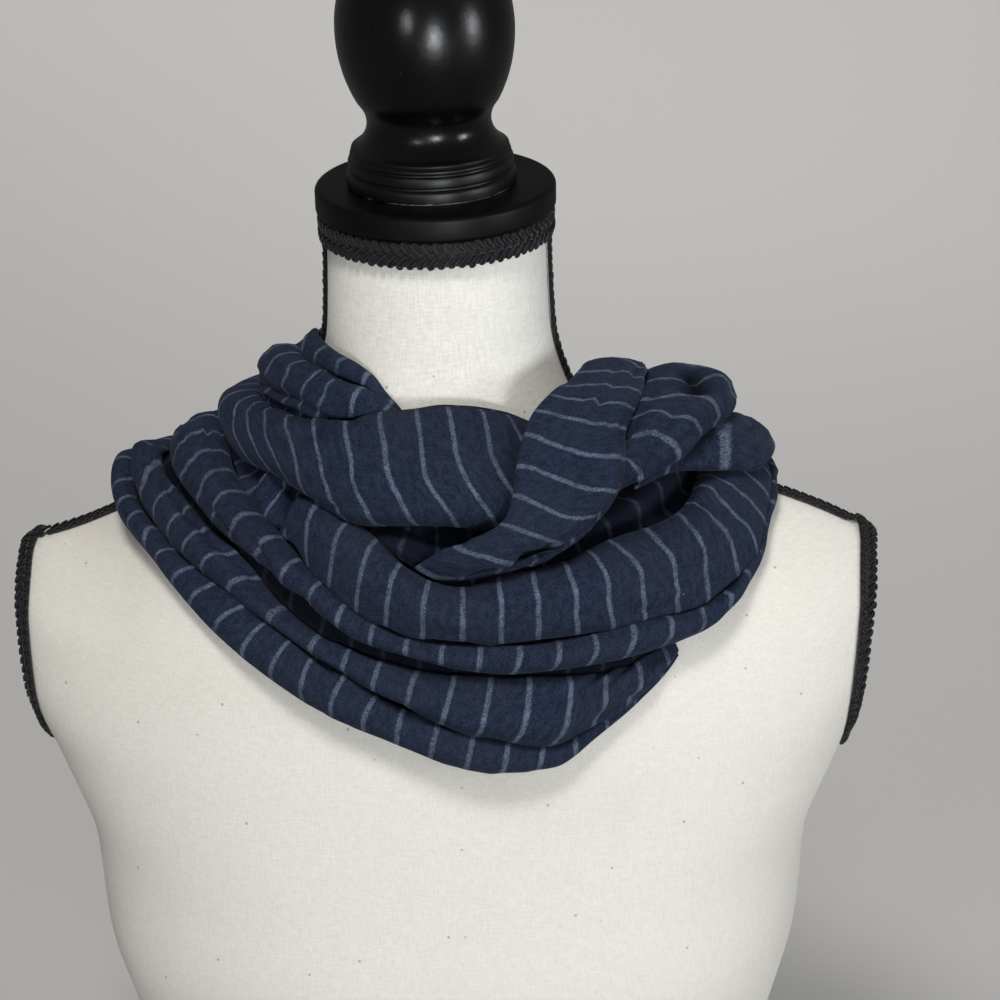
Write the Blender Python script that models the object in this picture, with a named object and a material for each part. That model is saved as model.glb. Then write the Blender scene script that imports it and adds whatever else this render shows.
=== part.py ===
"""A doubled jersey infinity scarf on a limbless dress form.

The form is a stack of rounded sections. Every fold of the scarf is placed on that form's own
surface: by an angle round its axis, a distance down along it from the foot of the neck, and a
lift away from it. Angle 0 faces the front (-Y) and +90 faces +X.
Tables are in millimetres and degrees, and meshes are in metres.
"""

import math
from collections import namedtuple

import bmesh
import bpy
import numpy as np

MM = 0.001

# ---------------------------------------------------------------- driving dimensions
CLOTH = 1.5  # two layers of soft jersey
CLEARANCE = 0.35  # between neighbouring pieces
ROLL_STEPS = 5  # facets across one fold
STATION_STEPS = 2  # stations between two rows of a table
FORM_SIDES = 44
NECK_TOP = 598.0
CHART_ORIGIN = 545.0  # height of distance 0, at the foot of the neck
CHART_SMOOTHING = 22.0  # the lift's direction is averaged over this far each way

CAP_RADIUS = 53.0
CAP_THICKNESS = 11.0
CAP_EDGE = 2.5

NECK_BRAID_HEIGHT = 12.5
NECK_BRAID_THICKNESS = 2.6
ARM_BRAID_WIDTH = 11.0
ARM_BRAID_INSET = 4.5  # from the arm plate's plane to the middle of the braid
ARM_BRAID_LIFT = 0.7
ARM_BRAID_THICKNESS = 3.0
SHOULDER_BRAID_WIDTH = 8.0
SHOULDER_BRAID_THICKNESS = 2.2
SHOULDER_BRAID_START = -38.9  # distance at which it leaves the neck braid
SHOULDER_BRAID_END = 178.0  # and at which it meets the armhole braid
SHOULDER_BRAID_LIFT = 0.5  # it spans the form's facets in the hollow of the neck

CAP_TILT = 0.01  # rise of the neck's top for each millimetre to the right
TILT_START = 540.0
TILT_RUN = 45.0
LEFT_DROP_X = (-210.0, -196.0, -168.0, -148.0, -118.0, -92.0, 0.0, 230.0)
LEFT_DROP = (6.0, 7.5, 11.5, 10.5, 4.0, 0.0, 0.0, 0.0)
DROP_START = 335.0
DROP_RUN = 75.0

ARM_PLATE_TOP = 440.0  # height at which the arm plate's plane is ARM_PLATE_X out
ARM_PLATE_X = 199.0
ARM_PLATE_SLOPE = 0.09  # the plane leans in towards the bottom
ARM_PLATE_CENTRE = 390.0

FormSection = namedtuple("FormSection", "height half_width front back squareness")
FORM = [
    FormSection(0, 150, 98, 88, 2.2),
    FormSection(35, 140, 94, 80, 2.2),
    FormSection(75, 131, 90, 74, 2.15),
    FormSection(120, 136, 97, 74, 2.2),
    FormSection(175, 150, 114, 80, 2.3),
    FormSection(215, 160, 128, 85, 2.4),
    FormSection(255, 168, 131, 90, 2.5),
    FormSection(300, 171, 124, 96, 2.5),
    FormSection(345, 187, 116, 99, 2.4),
    FormSection(390, 204, 108, 99, 2.2),
    FormSection(420, 207, 102, 95, 1.95),
    FormSection(440, 197, 97, 88, 1.7),
    FormSection(452, 176, 93, 82, 1.6),
    FormSection(464, 146, 88, 76, 1.6),
    FormSection(477, 112, 82, 70, 1.65),
    FormSection(490, 84, 74, 64, 1.8),
    FormSection(503, 66, 64, 58, 1.9),
    FormSection(520, 56, 56, 53, 2.0),
    FormSection(545, 50, 50, 50, 2.0),
    FormSection(NECK_TOP, 48, 48, 48, 2.0),
]
BODY_HEIGHTS = (
    0, 20, 50, 85, 125, 165, 200, 235, 270, 305, 335, 362, 388, 410, 426, 438, 447, 455,
    463, 471, 480, 489, 499, 511, 527, 548, 572, NECK_TOP,
)

# The finial's turned outline: radius at a height above the neck cap.
Turning = namedtuple("Turning", "radius height")
FINIAL = [
    Turning(36.8, 0.0),
    Turning(37.3, 1.0),
    Turning(37.1, 5.8),
    Turning(36.0, 6.8),
    Turning(35.8, 12.4),
    Turning(34.8, 13.4),
    Turning(34.4, 16.6),
    Turning(33.0, 17.4),
    Turning(29.9, 20.2),
    Turning(27.9, 23.0),
    Turning(27.1, 26.2),
    Turning(27.2, 29.6),
    Turning(28.5, 33.0),
]
BALL_RADIUS = 38.7
BALL_CENTRE = 68.0  # above the cap
BALL_START = 37.0  # height at which the neck of the finial runs into the ball
BALL_UPPER = 48.0
BALL_LOWER = 52.0
FINIAL_SHIFT = -1.5  # the finial is screwed on a little off centre
FINIAL_LEAN = 0.018  # and leans to the left

# ---------------------------------------------------------------- tables of the scarf
# A fold line is where two rolls of cloth meet, or the edge of the outermost one.
# Each row is one cross-section of a stretch; "_at" is a distance and "_lift" a lift.

# Chest wrap, upper two rolls: from behind the left shoulder round the front and over the right.
InnerRow = namedtuple(
    "InnerRow", "angle low_at low_lift mid_at mid_lift top_at top_lift low_roll top_roll"
)
INNER_LEFT = InnerRow(-100, 114, 9, 78, 8, 67, 4, 5, 1.5)
INNER_RIGHT = InnerRow(100, 139, 7, 133, 8, 116, 5, 3, 4.2)
INNER_FRONT = [
    INNER_LEFT,
    InnerRow(-90, 111, 11, 78, 10, 66, 4.5, 8, 1.5),
    InnerRow(-80, 109, 12, 79, 10, 66, 4.5, 9.5, 1.5),
    InnerRow(-65, 104, 11.7, 82, 10, 66, 4, 10, 2.5),
    InnerRow(-50, 103, 10.7, 86, 11, 66, 4, 9, 4.5),
    InnerRow(-38, 108, 11, 92, 13, 71, 7, 8, 8),
    InnerRow(-28, 113, 12, 100, 14, 73, 10, 7, 10),
    InnerRow(-16, 122, 12, 111, 14, 79, 12, 5, 11),
    InnerRow(-5, 127, 12, 118, 14, 92, 14, 5, 10),
    InnerRow(8, 133, 12, 122, 14, 100, 14, 5, 10),
    InnerRow(20, 137, 12, 125, 14, 97, 14, 6, 11),
    InnerRow(32, 140, 12, 128, 14, 98, 13, 6, 12),
    InnerRow(44, 145, 12, 133, 14, 99, 12, 7, 12),
    InnerRow(56, 150, 11, 141, 13, 102, 12, 6, 12),
    InnerRow(67, 147, 9, 142, 11, 103, 10, 3, 9),
    InnerRow(78, 141, 7.5, 135, 9, 105, 9, 3, 7.5),
    InnerRow(90, 139, 7, 130, 9, 110, 7.5, 4, 5),
    INNER_RIGHT,
]
INNER_BACK = [
    INNER_RIGHT._replace(angle=INNER_RIGHT.angle - 360),
    InnerRow(-254, 144, 7, 137, 7.5, 117, 4, 3, 3),
    InnerRow(-241, 148, 8, 137, 8, 115, 4, 4.5, 3),
    InnerRow(-229, 146, 9.5, 132, 8, 112, 3.5, 5.5, 3),
    InnerRow(-205, 129, 10, 113, 8, 91, 3.5, 5.5, 3),
    InnerRow(-180, 112, 10, 96, 8, 73, 3.5, 5.5, 3),
    InnerRow(-155, 107, 10, 91, 8, 68, 3.5, 5.5, 3),
    InnerRow(-130, 110, 10, 88, 8, 67, 3.5, 5.5, 3),
    InnerRow(-114, 113, 9.5, 81, 8, 66, 3.5, 5, 2),
    INNER_LEFT,
]

# Chest wrap, lowest two rolls, with a flat hidden tongue that runs up under the rolls above.
OuterRow = namedtuple(
    "OuterRow", "angle low_at low_lift mid_at mid_lift top_at top_lift tongue_at low_roll top_roll"
)
OUTER_LEFT = OuterRow(-100, 139, 7, 126, 8, 117, 8, 107, 4, 4)
OUTER_FRONT = [
    OUTER_LEFT,
    OuterRow(-90, 138, 8, 126, 9, 115, 9, 104, 5, 6),
    OuterRow(-78, 138, 7, 127, 9, 111, 8, 100, 6, 8),
    OuterRow(-65, 134, 6, 124, 9, 107, 7, 97, 6, 9),
    OuterRow(-50, 137, 6, 122, 9, 106, 7, 96, 6.5, 8),
    OuterRow(-38, 145, 6, 126, 9, 114, 7, 101, 7, 7),
    OuterRow(-25, 155, 6, 134, 9, 125, 7, 107, 8, 5),
    OuterRow(-12, 164, 6, 145, 9, 132, 7, 113, 8, 7),
    OuterRow(2, 173, 6, 157, 9, 137, 7, 120, 8, 9),
    OuterRow(14, 179, 6, 166, 9, 141, 7, 125, 7, 10),
    OuterRow(25, 180, 6, 172, 8, 144, 7, 128, 4, 11),
    OuterRow(34, 172, 6, 167, 7, 147, 7, 132, 2, 9),
    OuterRow(42, 164, 5, 161, 5.5, 150, 6, 137, 1, 5.5),
    OuterRow(47, 158, 4.5, 156, 4.5, 148, 5, 139, 0.6, 3.5),
    OuterRow(50, 153, 4, 151.5, 4.3, 147.5, 4.5, 141, 0.4, 1.5),
]
OUTER_BACK = [
    OuterRow(-216, 147, 4.5, 145, 4.5, 142, 4.5, 132, 0.5, 0.8),
    OuterRow(-200, 148, 6, 140, 6.5, 132, 5, 118, 4, 4),
    OuterRow(-180, 137, 7, 127, 7.5, 117, 5, 104, 6, 5),
    OuterRow(-155, 132, 7, 121, 7.5, 111, 5, 99, 6.5, 5),
    OuterRow(-130, 136, 7, 124, 7.5, 114, 5, 102, 6.5, 5),
    OuterRow(-114, 140, 7, 126, 8, 116, 7, 105, 6, 5),
    OUTER_LEFT,
]

# Neck wrap: three rolls from the left shoulder seam across the throat, then under the crossing.
NeckRow = namedtuple(
    "NeckRow",
    "angle low_at low_lift mid_at mid_lift high_at high_lift neck_at neck_lift"
    " low_roll mid_roll neck_roll",
)
NECK_LEFT = NeckRow(-110, 78, 15, 52, 13, 27, 10, 15, 5, 6, 7, 3)
NECK_FRONT = [
    NECK_LEFT,
    NeckRow(-96, 77, 16, 49, 14, 20, 9, 9, 5, 7, 8, 3),
    NeckRow(-82, 76, 18, 47, 16, 16, 9, 5, 5, 10, 9, 3.5),
    NeckRow(-62, 74, 18, 42, 16, 14, 9, 4, 5, 11, 8, 4),
    NeckRow(-45, 69, 16, 37, 16, 13, 9, 4, 5, 12, 8, 4),
    NeckRow(-30, 72, 16, 30, 15, 14, 8, 8, 4, 12, 6, 2),
    NeckRow(-18, 75, 16, 25, 13, 17, 7, 13, 4, 12, 3, 1),
    NeckRow(-7, 74, 16, 22, 10, 18, 6, 15, 4, 12, 1, 0.6),
    NeckRow(4, 74, 16, 20, 9, 16, 6, 13, 4, 12, 1, 0.5),
    NeckRow(14, 76, 15, 22, 9, 18, 6, 15, 4, 12, 1, 0.5),
    NeckRow(26, 77, 13, 28, 8, 24, 5, 20, 4, 10, 1, 0.5),
    NeckRow(38, 79, 8, 34, 6, 29, 4.5, 24, 3.5, 7, 1, 0.5),
    NeckRow(48, 75, 6, 42, 4, 37, 3.5, 33, 3.5, 4, 0.5, 0.3),
]
NECK_BACK = [
    NeckRow(-230, 124, 13.5, 105.5, 11, 86, 10, 66, 7, 5, 5, 5),
    NeckRow(-210, 107, 13.5, 86, 11, 63, 10, 41, 7, 6, 7, 6),
    NeckRow(-182, 80, 13.5, 57, 12, 33, 11, 12, 6, 6, 8, 7),
    NeckRow(-155, 73, 13.5, 49, 12, 26, 10, 9, 6, 6, 8, 6),
    NeckRow(-130, 74, 14, 50, 12, 27, 10, 15, 5, 6, 8, 4),
    NECK_LEFT,
]

# The crossing: two rolls that come over the right shoulder and run down to a tucked point.
CrossRow = namedtuple(
    "CrossRow",
    "left_angle left_at left_lift mid_angle mid_at mid_lift right_angle right_at right_lift"
    " left_roll right_roll",
)
CROSSING = [
    CrossRow(129.5, 66, 7, 129.5, 86, 10, 129.5, 104.5, 11, 5, 5),
    CrossRow(112, 58, 9, 114, 80, 13, 113, 106, 16, 7, 8),
    CrossRow(98, 43, 13, 101, 68, 19, 101, 104, 26, 8, 10),
    CrossRow(84, 29, 16, 91, 57, 23, 93, 105, 32, 7.5, 13.5),
    CrossRow(64, 16, 20.5, 79, 54, 28, 86, 106, 36, 8.5, 13.5),
    CrossRow(45, 17, 27, 68, 55, 30, 77, 99, 38, 10, 12),
    CrossRow(32, 25, 33, 61, 59, 30, 70, 94, 39, 12, 11),
    CrossRow(26, 41, 35, 56, 67, 29, 62, 90, 38, 12, 8),
    CrossRow(23, 55, 35, 52, 76, 28, 55, 87, 34, 12, 4),
    CrossRow(21, 67, 33, 46, 82, 26, 48, 87, 28, 11, 1),
    CrossRow(18, 76, 30, 37, 88, 24, 40, 91, 24, 10, 0.5),
    CrossRow(13, 80, 27, 27, 92, 21, 30, 94, 21, 9, 0.4),
    CrossRow(7, 83, 24, 17, 92, 18, 19, 94, 17, 7, 0.3),
    CrossRow(1, 87, 20, 9, 94, 14, 11, 96, 13, 5, 0.3),
    CrossRow(-3, 91, 14, 2, 95, 9, 3, 97, 8, 2.5, 0.2),
]

# The roll that comes out from under the crossing and goes over the right shoulder.
ShoulderRow = namedtuple(
    "ShoulderRow", "outer_angle outer_at outer_lift inner_angle inner_at inner_lift roll"
)
SHOULDER = [
    ShoulderRow(58, 86, 14, 70, 80, 14, 3),
    ShoulderRow(66, 92, 20, 80, 92, 22, 5),
    ShoulderRow(70, 102, 24, 85, 102, 25, 7),
    ShoulderRow(74, 113, 25, 90, 108, 26, 8),
    ShoulderRow(81, 128, 21, 97, 116, 20, 8),
    ShoulderRow(93, 134, 18, 105, 115, 17, 7.5),
    ShoulderRow(106, 134, 15.5, 113, 113, 14, 7),
    ShoulderRow(119, 129, 14.5, 121, 109, 12, 6),
    ShoulderRow(129.5, 124, 13.5, 129.5, 106, 11, 5),
]

# The stretch behind: a flat layer, with a small tucked fold at the left and a roll at the right.
BehindRow = namedtuple("BehindRow", "angle low_at fold_low_at fold_high_at fold_height top_at")
BEHIND = [
    BehindRow(-26, 96, 90, 72, 0, 64),
    BehindRow(-16, 100, 87, 72, 2, 64),
    BehindRow(-10, 104, 89, 72, 8, 64),
    BehindRow(-4, 106, 94, 73, 11, 64),
    BehindRow(2, 108, 98, 76, 6, 64),
    BehindRow(10, 109, 100, 80, 0, 65),
    BehindRow(30, 109, 98, 80, 0, 68),
    BehindRow(42, 109, 99, 80, 4, 71),
    BehindRow(54, 110, 101, 81, 13, 73),
    BehindRow(64, 111, 102, 83, 13, 76),
    BehindRow(74, 112, 103, 88, 6, 82),
]
BEHIND_LIFT = 2.2

COLOURS = {
    "linen": (0.80, 0.77, 0.70),
    "jersey": (0.040, 0.048, 0.085),
    "braid": (0.008, 0.008, 0.009),
    "lacquer": (0.006, 0.006, 0.007),
}


# ---------------------------------------------------------------- the form as a chart
def smooth_through(knots, values, at):
    """A curve through the knots that adds no bumps between them."""
    knots = np.asarray(knots, float)
    values = np.asarray(values, float)
    step = np.diff(knots)
    rise = np.diff(values) / step
    slope = np.zeros(len(values))
    slope[0] = rise[0]
    slope[-1] = rise[-1]
    for i in range(1, len(knots) - 1):
        if rise[i - 1] * rise[i] > 0:
            before = 2 * step[i] + step[i - 1]
            after = step[i] + 2 * step[i - 1]
            slope[i] = (before + after) / (before / rise[i - 1] + after / rise[i])
    at = np.asarray(at, float)
    i = np.clip(np.searchsorted(knots, at) - 1, 0, len(knots) - 2)
    t = (at - knots[i]) / step[i]
    return (
        (1 + 2 * t) * (1 - t) ** 2 * values[i]
        + t * (1 - t) ** 2 * step[i] * slope[i]
        + t * t * (3 - 2 * t) * values[i + 1]
        + t * t * (t - 1) * step[i] * slope[i + 1]
    )


def form_column(name, height):
    heights = [section.height for section in FORM]
    return smooth_through(heights, [getattr(section, name) for section in FORM], height)


def form_radius(angle, height):
    """Distance from the axis to the form's surface; the angle is in radians."""
    depth = form_column("front" if math.cos(angle) > 0 else "back", height)
    power = form_column("squareness", height)
    wide = (abs(math.sin(angle)) / form_column("half_width", height)) ** power
    deep = (abs(math.cos(angle)) / depth) ** power
    return (wide + deep) ** (-1 / power)


CHART_HEIGHTS = np.linspace(NECK_TOP, 100.0, 400)


def meridian(angle):
    """Radius and height down the form's side at an angle, with the length run so far."""
    radius = form_radius(angle, CHART_HEIGHTS)
    run = np.hypot(np.diff(radius), np.diff(CHART_HEIGHTS))
    return radius, np.concatenate([[0.0], np.cumsum(run)])


def on_form(angle, distance, lift):
    """Point and outward direction at a place on the form's chart."""
    turn = math.radians(angle)
    radius, run = meridian(turn)
    at = np.interp(-CHART_ORIGIN, -CHART_HEIGHTS, run) + distance
    reach = np.array([at - CHART_SMOOTHING, at, at + CHART_SMOOTHING])
    r = np.interp(reach, run, radius)
    z = np.interp(reach, run, CHART_HEIGHTS)
    out = np.array([z[0] - z[2], r[2] - r[0]])
    out /= np.linalg.norm(out)
    r_at = r[1] + out[0] * lift
    z_at = z[1] + out[1] * lift
    around = np.array([math.sin(turn), -math.cos(turn)])
    point = np.array([*(around * r_at), z_at])
    return point, np.array([*(around * out[0]), out[1]])


# ---------------------------------------------------------------- folded cloth
UNDERCUT = math.radians(22)  # how far each roll turns under at a fold line
EDGE_UNDERCUT = math.radians(34)  # and at the cloth's own edge
TONGUE_LIFT = 4.2  # the hidden tongue passes over the shoulder braid
PINCH = 1.5  # half the gap left between two rolls
FOLD_DEPTH = 1.8  # depth of the turn between two rolls
FULL_FOLD_WIDTH = 8.0  # narrower rolls flatten out


def unit(vector):
    return vector / np.linalg.norm(vector)


def strength(width):
    """1 for a full roll, and close to 0 for one too narrow to turn under."""
    t = min(max((width - 3.0) / (FULL_FOLD_WIDTH - 3.0), 0.0), 1.0)
    return max(t * t * (3 - 2 * t), 0.1)


def fold_section(lines, outs, rolls):
    """One cross-section: a row of rolls between fold lines, joined by tight turns."""
    count = len(rolls)
    widths = [np.linalg.norm(lines[j + 1] - lines[j]) for j in range(count)]
    powers = [strength(width) for width in widths]
    meets = [powers[0]] + [min(powers[j - 1], powers[j]) for j in range(1, count)] + [powers[-1]]
    section = []
    for j in range(count):
        along = (lines[j + 1] - lines[j]) / widths[j]
        out = outs[j] + outs[j + 1]
        out = unit(out - along * np.dot(out, along))
        start_gap = PINCH * meets[j] if j else 0.0
        end_gap = PINCH * meets[j + 1] if j < count - 1 else 0.0
        half = (widths[j] - start_gap - end_gap) / 2
        middle = lines[j] + along * (start_gap + half)
        first = -(UNDERCUT if j else EDGE_UNDERCUT) * meets[j]
        last = math.pi + (UNDERCUT if j < count - 1 else EDGE_UNDERCUT) * meets[j + 1]
        arc = [
            middle - along * half * math.cos(turn) + out * rolls[j] * math.sin(turn)
            for turn in np.linspace(first, last, ROLL_STEPS + 1)
        ]
        if section:
            bottom = (section[-1] + arc[0]) / 2
            section.append(bottom - outs[j] * FOLD_DEPTH * meets[j])
        section.extend(arc)
    return section


def between_rows(rows):
    """The table's rows, with smooth stations between them."""
    table = np.array(rows, float)
    knots = np.arange(len(rows), dtype=float)
    stations = np.linspace(0, len(rows) - 1, (len(rows) - 1) * STATION_STEPS + 1)
    columns = [smooth_through(knots, table[:, k], stations) for k in range(table.shape[1])]
    kind = type(rows[0])
    return [kind(*values) for values in np.transpose(columns)]


def section_of(places, rolls):
    """A section from (angle, distance, lift) places and the rolls between them."""
    spots = [on_form(*place) for place in places]
    return fold_section([spot[0] for spot in spots], [spot[1] for spot in spots], rolls)


def inner_section(row):
    places = [
        (row.angle, row.low_at, row.low_lift),
        (row.angle, row.mid_at, row.mid_lift),
        (row.angle, row.top_at, row.top_lift),
    ]
    return section_of(places, [row.low_roll, row.top_roll])


def outer_section(row):
    places = [
        (row.angle, row.low_at, row.low_lift),
        (row.angle, row.mid_at, row.mid_lift),
        (row.angle, row.top_at, row.top_lift),
    ]
    section = section_of(places, [row.low_roll, row.top_roll])
    tongue_lift = min(row.top_lift, TONGUE_LIFT)
    near, _ = on_form(row.angle, row.top_at - 4.0, tongue_lift)
    end, _ = on_form(row.angle, row.tongue_at, tongue_lift)
    return section + [near, end]


def neck_section(row):
    places = [
        (row.angle, row.low_at, row.low_lift),
        (row.angle, row.mid_at, row.mid_lift),
        (row.angle, row.high_at, row.high_lift),
        (row.angle, row.neck_at, row.neck_lift),
    ]
    return section_of(places, [row.low_roll, row.mid_roll, row.neck_roll])


def cross_section(row):
    places = [
        (row.right_angle, row.right_at, row.right_lift),
        (row.mid_angle, row.mid_at, row.mid_lift),
        (row.left_angle, row.left_at, row.left_lift),
    ]
    return section_of(places, [row.right_roll, row.left_roll])


def shoulder_section(row):
    places = [
        (row.outer_angle, row.outer_at, row.outer_lift),
        (row.inner_angle, row.inner_at, row.inner_lift),
    ]
    return section_of(places, [row.roll])


def behind_section(row):
    places = [(row.low_at, 0.0)]
    for share in np.linspace(0, 1, 7):
        at = row.fold_low_at + (row.fold_high_at - row.fold_low_at) * share
        places.append((at, row.fold_height * math.sin(math.pi * share) ** 2))
    places.append((row.top_at, 0.0))
    return [on_form(row.angle, at, BEHIND_LIFT + height)[0] for at, height in places]


def in_plane_normals(section):
    """Directions across the cloth at each point of a section, on its outer side."""
    points = np.array(section)
    tangent = np.gradient(points, axis=0)
    tangent /= np.linalg.norm(tangent, axis=1)[:, None]
    corner = points - points.mean(axis=0)
    plane = unit(np.linalg.svd(corner, full_matrices=False)[2][2])
    normal = np.cross(tangent, plane)
    normal /= np.linalg.norm(normal, axis=1)[:, None]
    away = points * np.array([1.0, 1.0, 0.0])
    return normal * np.sign(np.sum(normal * away))


def cloth_wall(name, rows, section_at):
    """A closed wall of even thickness through the sections of a stretch."""
    outer = []
    inner = []
    for row in between_rows(rows):
        section = section_at(row)
        normal = in_plane_normals(section)
        outer.append(np.array(section) + normal * CLOTH / 2)
        inner.append(np.array(section) - normal * CLOTH / 2)
    mesh = bmesh.new()
    skins = []
    for skin in (outer, inner):
        skins.append([[mesh.verts.new(point * MM) for point in ring] for ring in skin])
    stations = len(outer)
    across = len(outer[0])
    for i in range(stations - 1):
        for j in range(across - 1):
            for side, skin in enumerate(skins):
                quad = [skin[i][j], skin[i + 1][j], skin[i + 1][j + 1], skin[i][j + 1]]
                mesh.faces.new(quad[::-1] if side else quad)
    for i in range(stations - 1):
        for j in (0, across - 1):
            mesh.faces.new([skins[0][i][j], skins[1][i][j], skins[1][i + 1][j], skins[0][i + 1][j]])
    for j in range(across - 1):
        for i in (0, stations - 1):
            mesh.faces.new([skins[0][i][j], skins[0][i][j + 1], skins[1][i][j + 1], skins[1][i][j]])
    return add_node(name, mesh, "jersey")


# ---------------------------------------------------------------- nodes and materials
def settled(point):
    """A point of the form with its small unevenness: a tilted top and a lower left shoulder."""
    x, y, z = point
    tilt = (z - TILT_START) / TILT_RUN
    tilt = min(max(tilt, 0.0), 1.0)
    drop = float(smooth_through(LEFT_DROP_X, LEFT_DROP, max(x, LEFT_DROP_X[0])))
    reach = min(max((z - DROP_START) / DROP_RUN, 0.0), 1.0)
    rise = CAP_TILT * x * tilt * tilt * (3 - 2 * tilt) - drop * reach * reach * (3 - 2 * reach)
    return np.array([x, y, z + rise])


def material(name, colour, roughness):
    made = bpy.data.materials.new(name)
    made.use_nodes = True
    shader = made.node_tree.nodes["Principled BSDF"]
    shader.inputs["Base Color"].default_value = (*colour, 1.0)
    shader.inputs["Roughness"].default_value = roughness
    shader.inputs["Metallic"].default_value = 0.0
    return made


def add_node(name, mesh, finish):
    bmesh.ops.recalc_face_normals(mesh, faces=mesh.faces)
    data = bpy.data.meshes.new(name)
    mesh.to_mesh(data)
    mesh.free()
    data.shade_smooth()
    data.set_sharp_from_angle(angle=math.radians(50))
    made = bpy.data.objects.new(name, data)
    bpy.context.scene.collection.objects.link(made)
    roughness = {"linen": 0.9, "jersey": 0.92, "braid": 0.75, "lacquer": 0.22}[finish]
    data.materials.append(material(name + "_finish", COLOURS[finish], roughness))
    return made


def closed_stack(rings):
    """A closed mesh through rings of equal count, with a fan at each end."""
    mesh = bmesh.new()
    loops = [[mesh.verts.new(settled(point) * MM) for point in ring] for ring in rings]
    sides = len(rings[0])
    for low, high in zip(loops, loops[1:]):
        for i in range(sides):
            k = (i + 1) % sides
            mesh.faces.new([low[i], low[k], high[k], high[i]])
    for loop, ring in ((loops[0], rings[0]), (loops[-1], rings[-1])):
        centre = mesh.verts.new(settled(np.mean(ring, axis=0)) * MM)
        for i in range(sides):
            mesh.faces.new([centre, loop[i], loop[(i + 1) % sides]])
    return mesh


def turned_rings(profile, sides, base):
    """The rings of a turned shape from (radius, height) rows above a base height."""
    turns = np.linspace(0, 2 * math.pi, sides, endpoint=False)
    circle = np.array([(math.cos(turn), math.sin(turn), 0.0) for turn in turns])
    return [circle * radius + np.array([0.0, 0.0, base + height]) for radius, height in profile]


def strap(name, centres, sides, outs, widths, thickness, closed=False):
    """A crowned trim that lies on a surface: flat below, rounded above."""
    crown = [(-0.5, 0.0), (-0.42, 0.7), (0.0, 1.0), (0.42, 0.7), (0.5, 0.0)]
    mesh = bmesh.new()
    rings = []
    for centre, side, out, width in zip(centres, sides, outs, widths):
        places = [
            centre + side * width * x + out * (CLEARANCE + thickness * z) for x, z in crown
        ]
        rings.append([mesh.verts.new(settled(place) * MM) for place in places])
    count = len(rings)
    for i in range(count if closed else count - 1):
        here = rings[i]
        there = rings[(i + 1) % count]
        for k in range(len(crown)):
            m = (k + 1) % len(crown)
            mesh.faces.new([here[k], there[k], there[m], here[m]])
    if not closed:
        mesh.faces.new(rings[0])
        mesh.faces.new(rings[-1][::-1])
    return add_node(name, mesh, "braid")


# ---------------------------------------------------------------- the dress form
def arm_plate_x(height):
    return ARM_PLATE_X - ARM_PLATE_SLOPE * (ARM_PLATE_TOP - height)


def form_point(angle, height):
    radius = form_radius(angle, height)
    return np.array([radius * math.sin(angle), -radius * math.cos(angle), height])


def make_form_body():
    rings = []
    for height in BODY_HEIGHTS:
        turns = np.linspace(0, 2 * math.pi, FORM_SIDES, endpoint=False)
        ring = [form_point(turn, height) for turn in turns]
        limit = arm_plate_x(height)
        for point in ring:
            point[0] = min(max(point[0], -limit), limit)
        rings.append(np.array(ring))
    return add_node("form_body", closed_stack(rings), "linen")


def arm_rim(turn):
    """Point round the right arm plate, inside its rim, at a turn round the plate's centre."""
    near = 0.0
    far = 120.0
    for _ in range(40):
        reach = (near + far) / 2
        height = ARM_PLATE_CENTRE + reach * math.cos(turn)
        y = -reach * math.sin(turn)
        x = arm_plate_x(height) - ARM_BRAID_INSET
        inside = math.hypot(x, y) < form_radius(math.atan2(x, -y), height)
        near, far = (reach, far) if inside else (near, reach)
    return np.array([x, y, height])


def surface_out(point):
    """Outward direction of the form's surface near a point."""
    angle = math.atan2(point[0], -point[1])
    step = 2.0
    around = form_point(angle + 0.03, point[2]) - form_point(angle - 0.03, point[2])
    up = form_point(angle, point[2] + step) - form_point(angle, point[2] - step)
    return unit(np.cross(around, up))


def make_arm_braid(name, side):
    turns = np.linspace(0, 2 * math.pi, 36, endpoint=False)
    rim = np.array([arm_rim(turn) for turn in turns])
    centres = []
    sides = []
    outs = []
    for i, point in enumerate(rim):
        along = unit(rim[(i + 1) % len(rim)] - rim[i - 1])
        out = surface_out(point)
        out = unit(out - along * np.dot(out, along))
        across = np.cross(along, out)
        flip = np.array([side, 1.0, 1.0])
        centres.append((point + out * ARM_BRAID_LIFT) * flip)
        sides.append(across * flip)
        outs.append(out * flip)
    widths = [ARM_BRAID_WIDTH] * len(rim)
    strap(name, centres, sides, outs, widths, ARM_BRAID_THICKNESS, closed=True)


def make_shoulder_braid(name, side):
    stations = np.linspace(SHOULDER_BRAID_START, SHOULDER_BRAID_END, 30)
    centres = []
    sides = []
    outs = []
    for distance in stations:
        point, out = true_surface(90.0 * side, distance)
        centres.append(point + out * SHOULDER_BRAID_LIFT)
        outs.append(out)
        sides.append(np.array([0.0, 1.0, 0.0]))
    widths = [SHOULDER_BRAID_WIDTH] * len(stations)
    strap(name, centres, sides, outs, widths, SHOULDER_BRAID_THICKNESS)


def true_surface(angle, distance):
    """Point and unaveraged outward direction on the chart."""
    step = 3.0
    point, _ = on_form(angle, distance, 0.0)
    above, _ = on_form(angle, distance - step, 0.0)
    below, _ = on_form(angle, distance + step, 0.0)
    down = unit(below - above)
    around = np.array([math.cos(math.radians(angle)), math.sin(math.radians(angle)), 0.0])
    return point, unit(np.cross(down, around))


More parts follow.
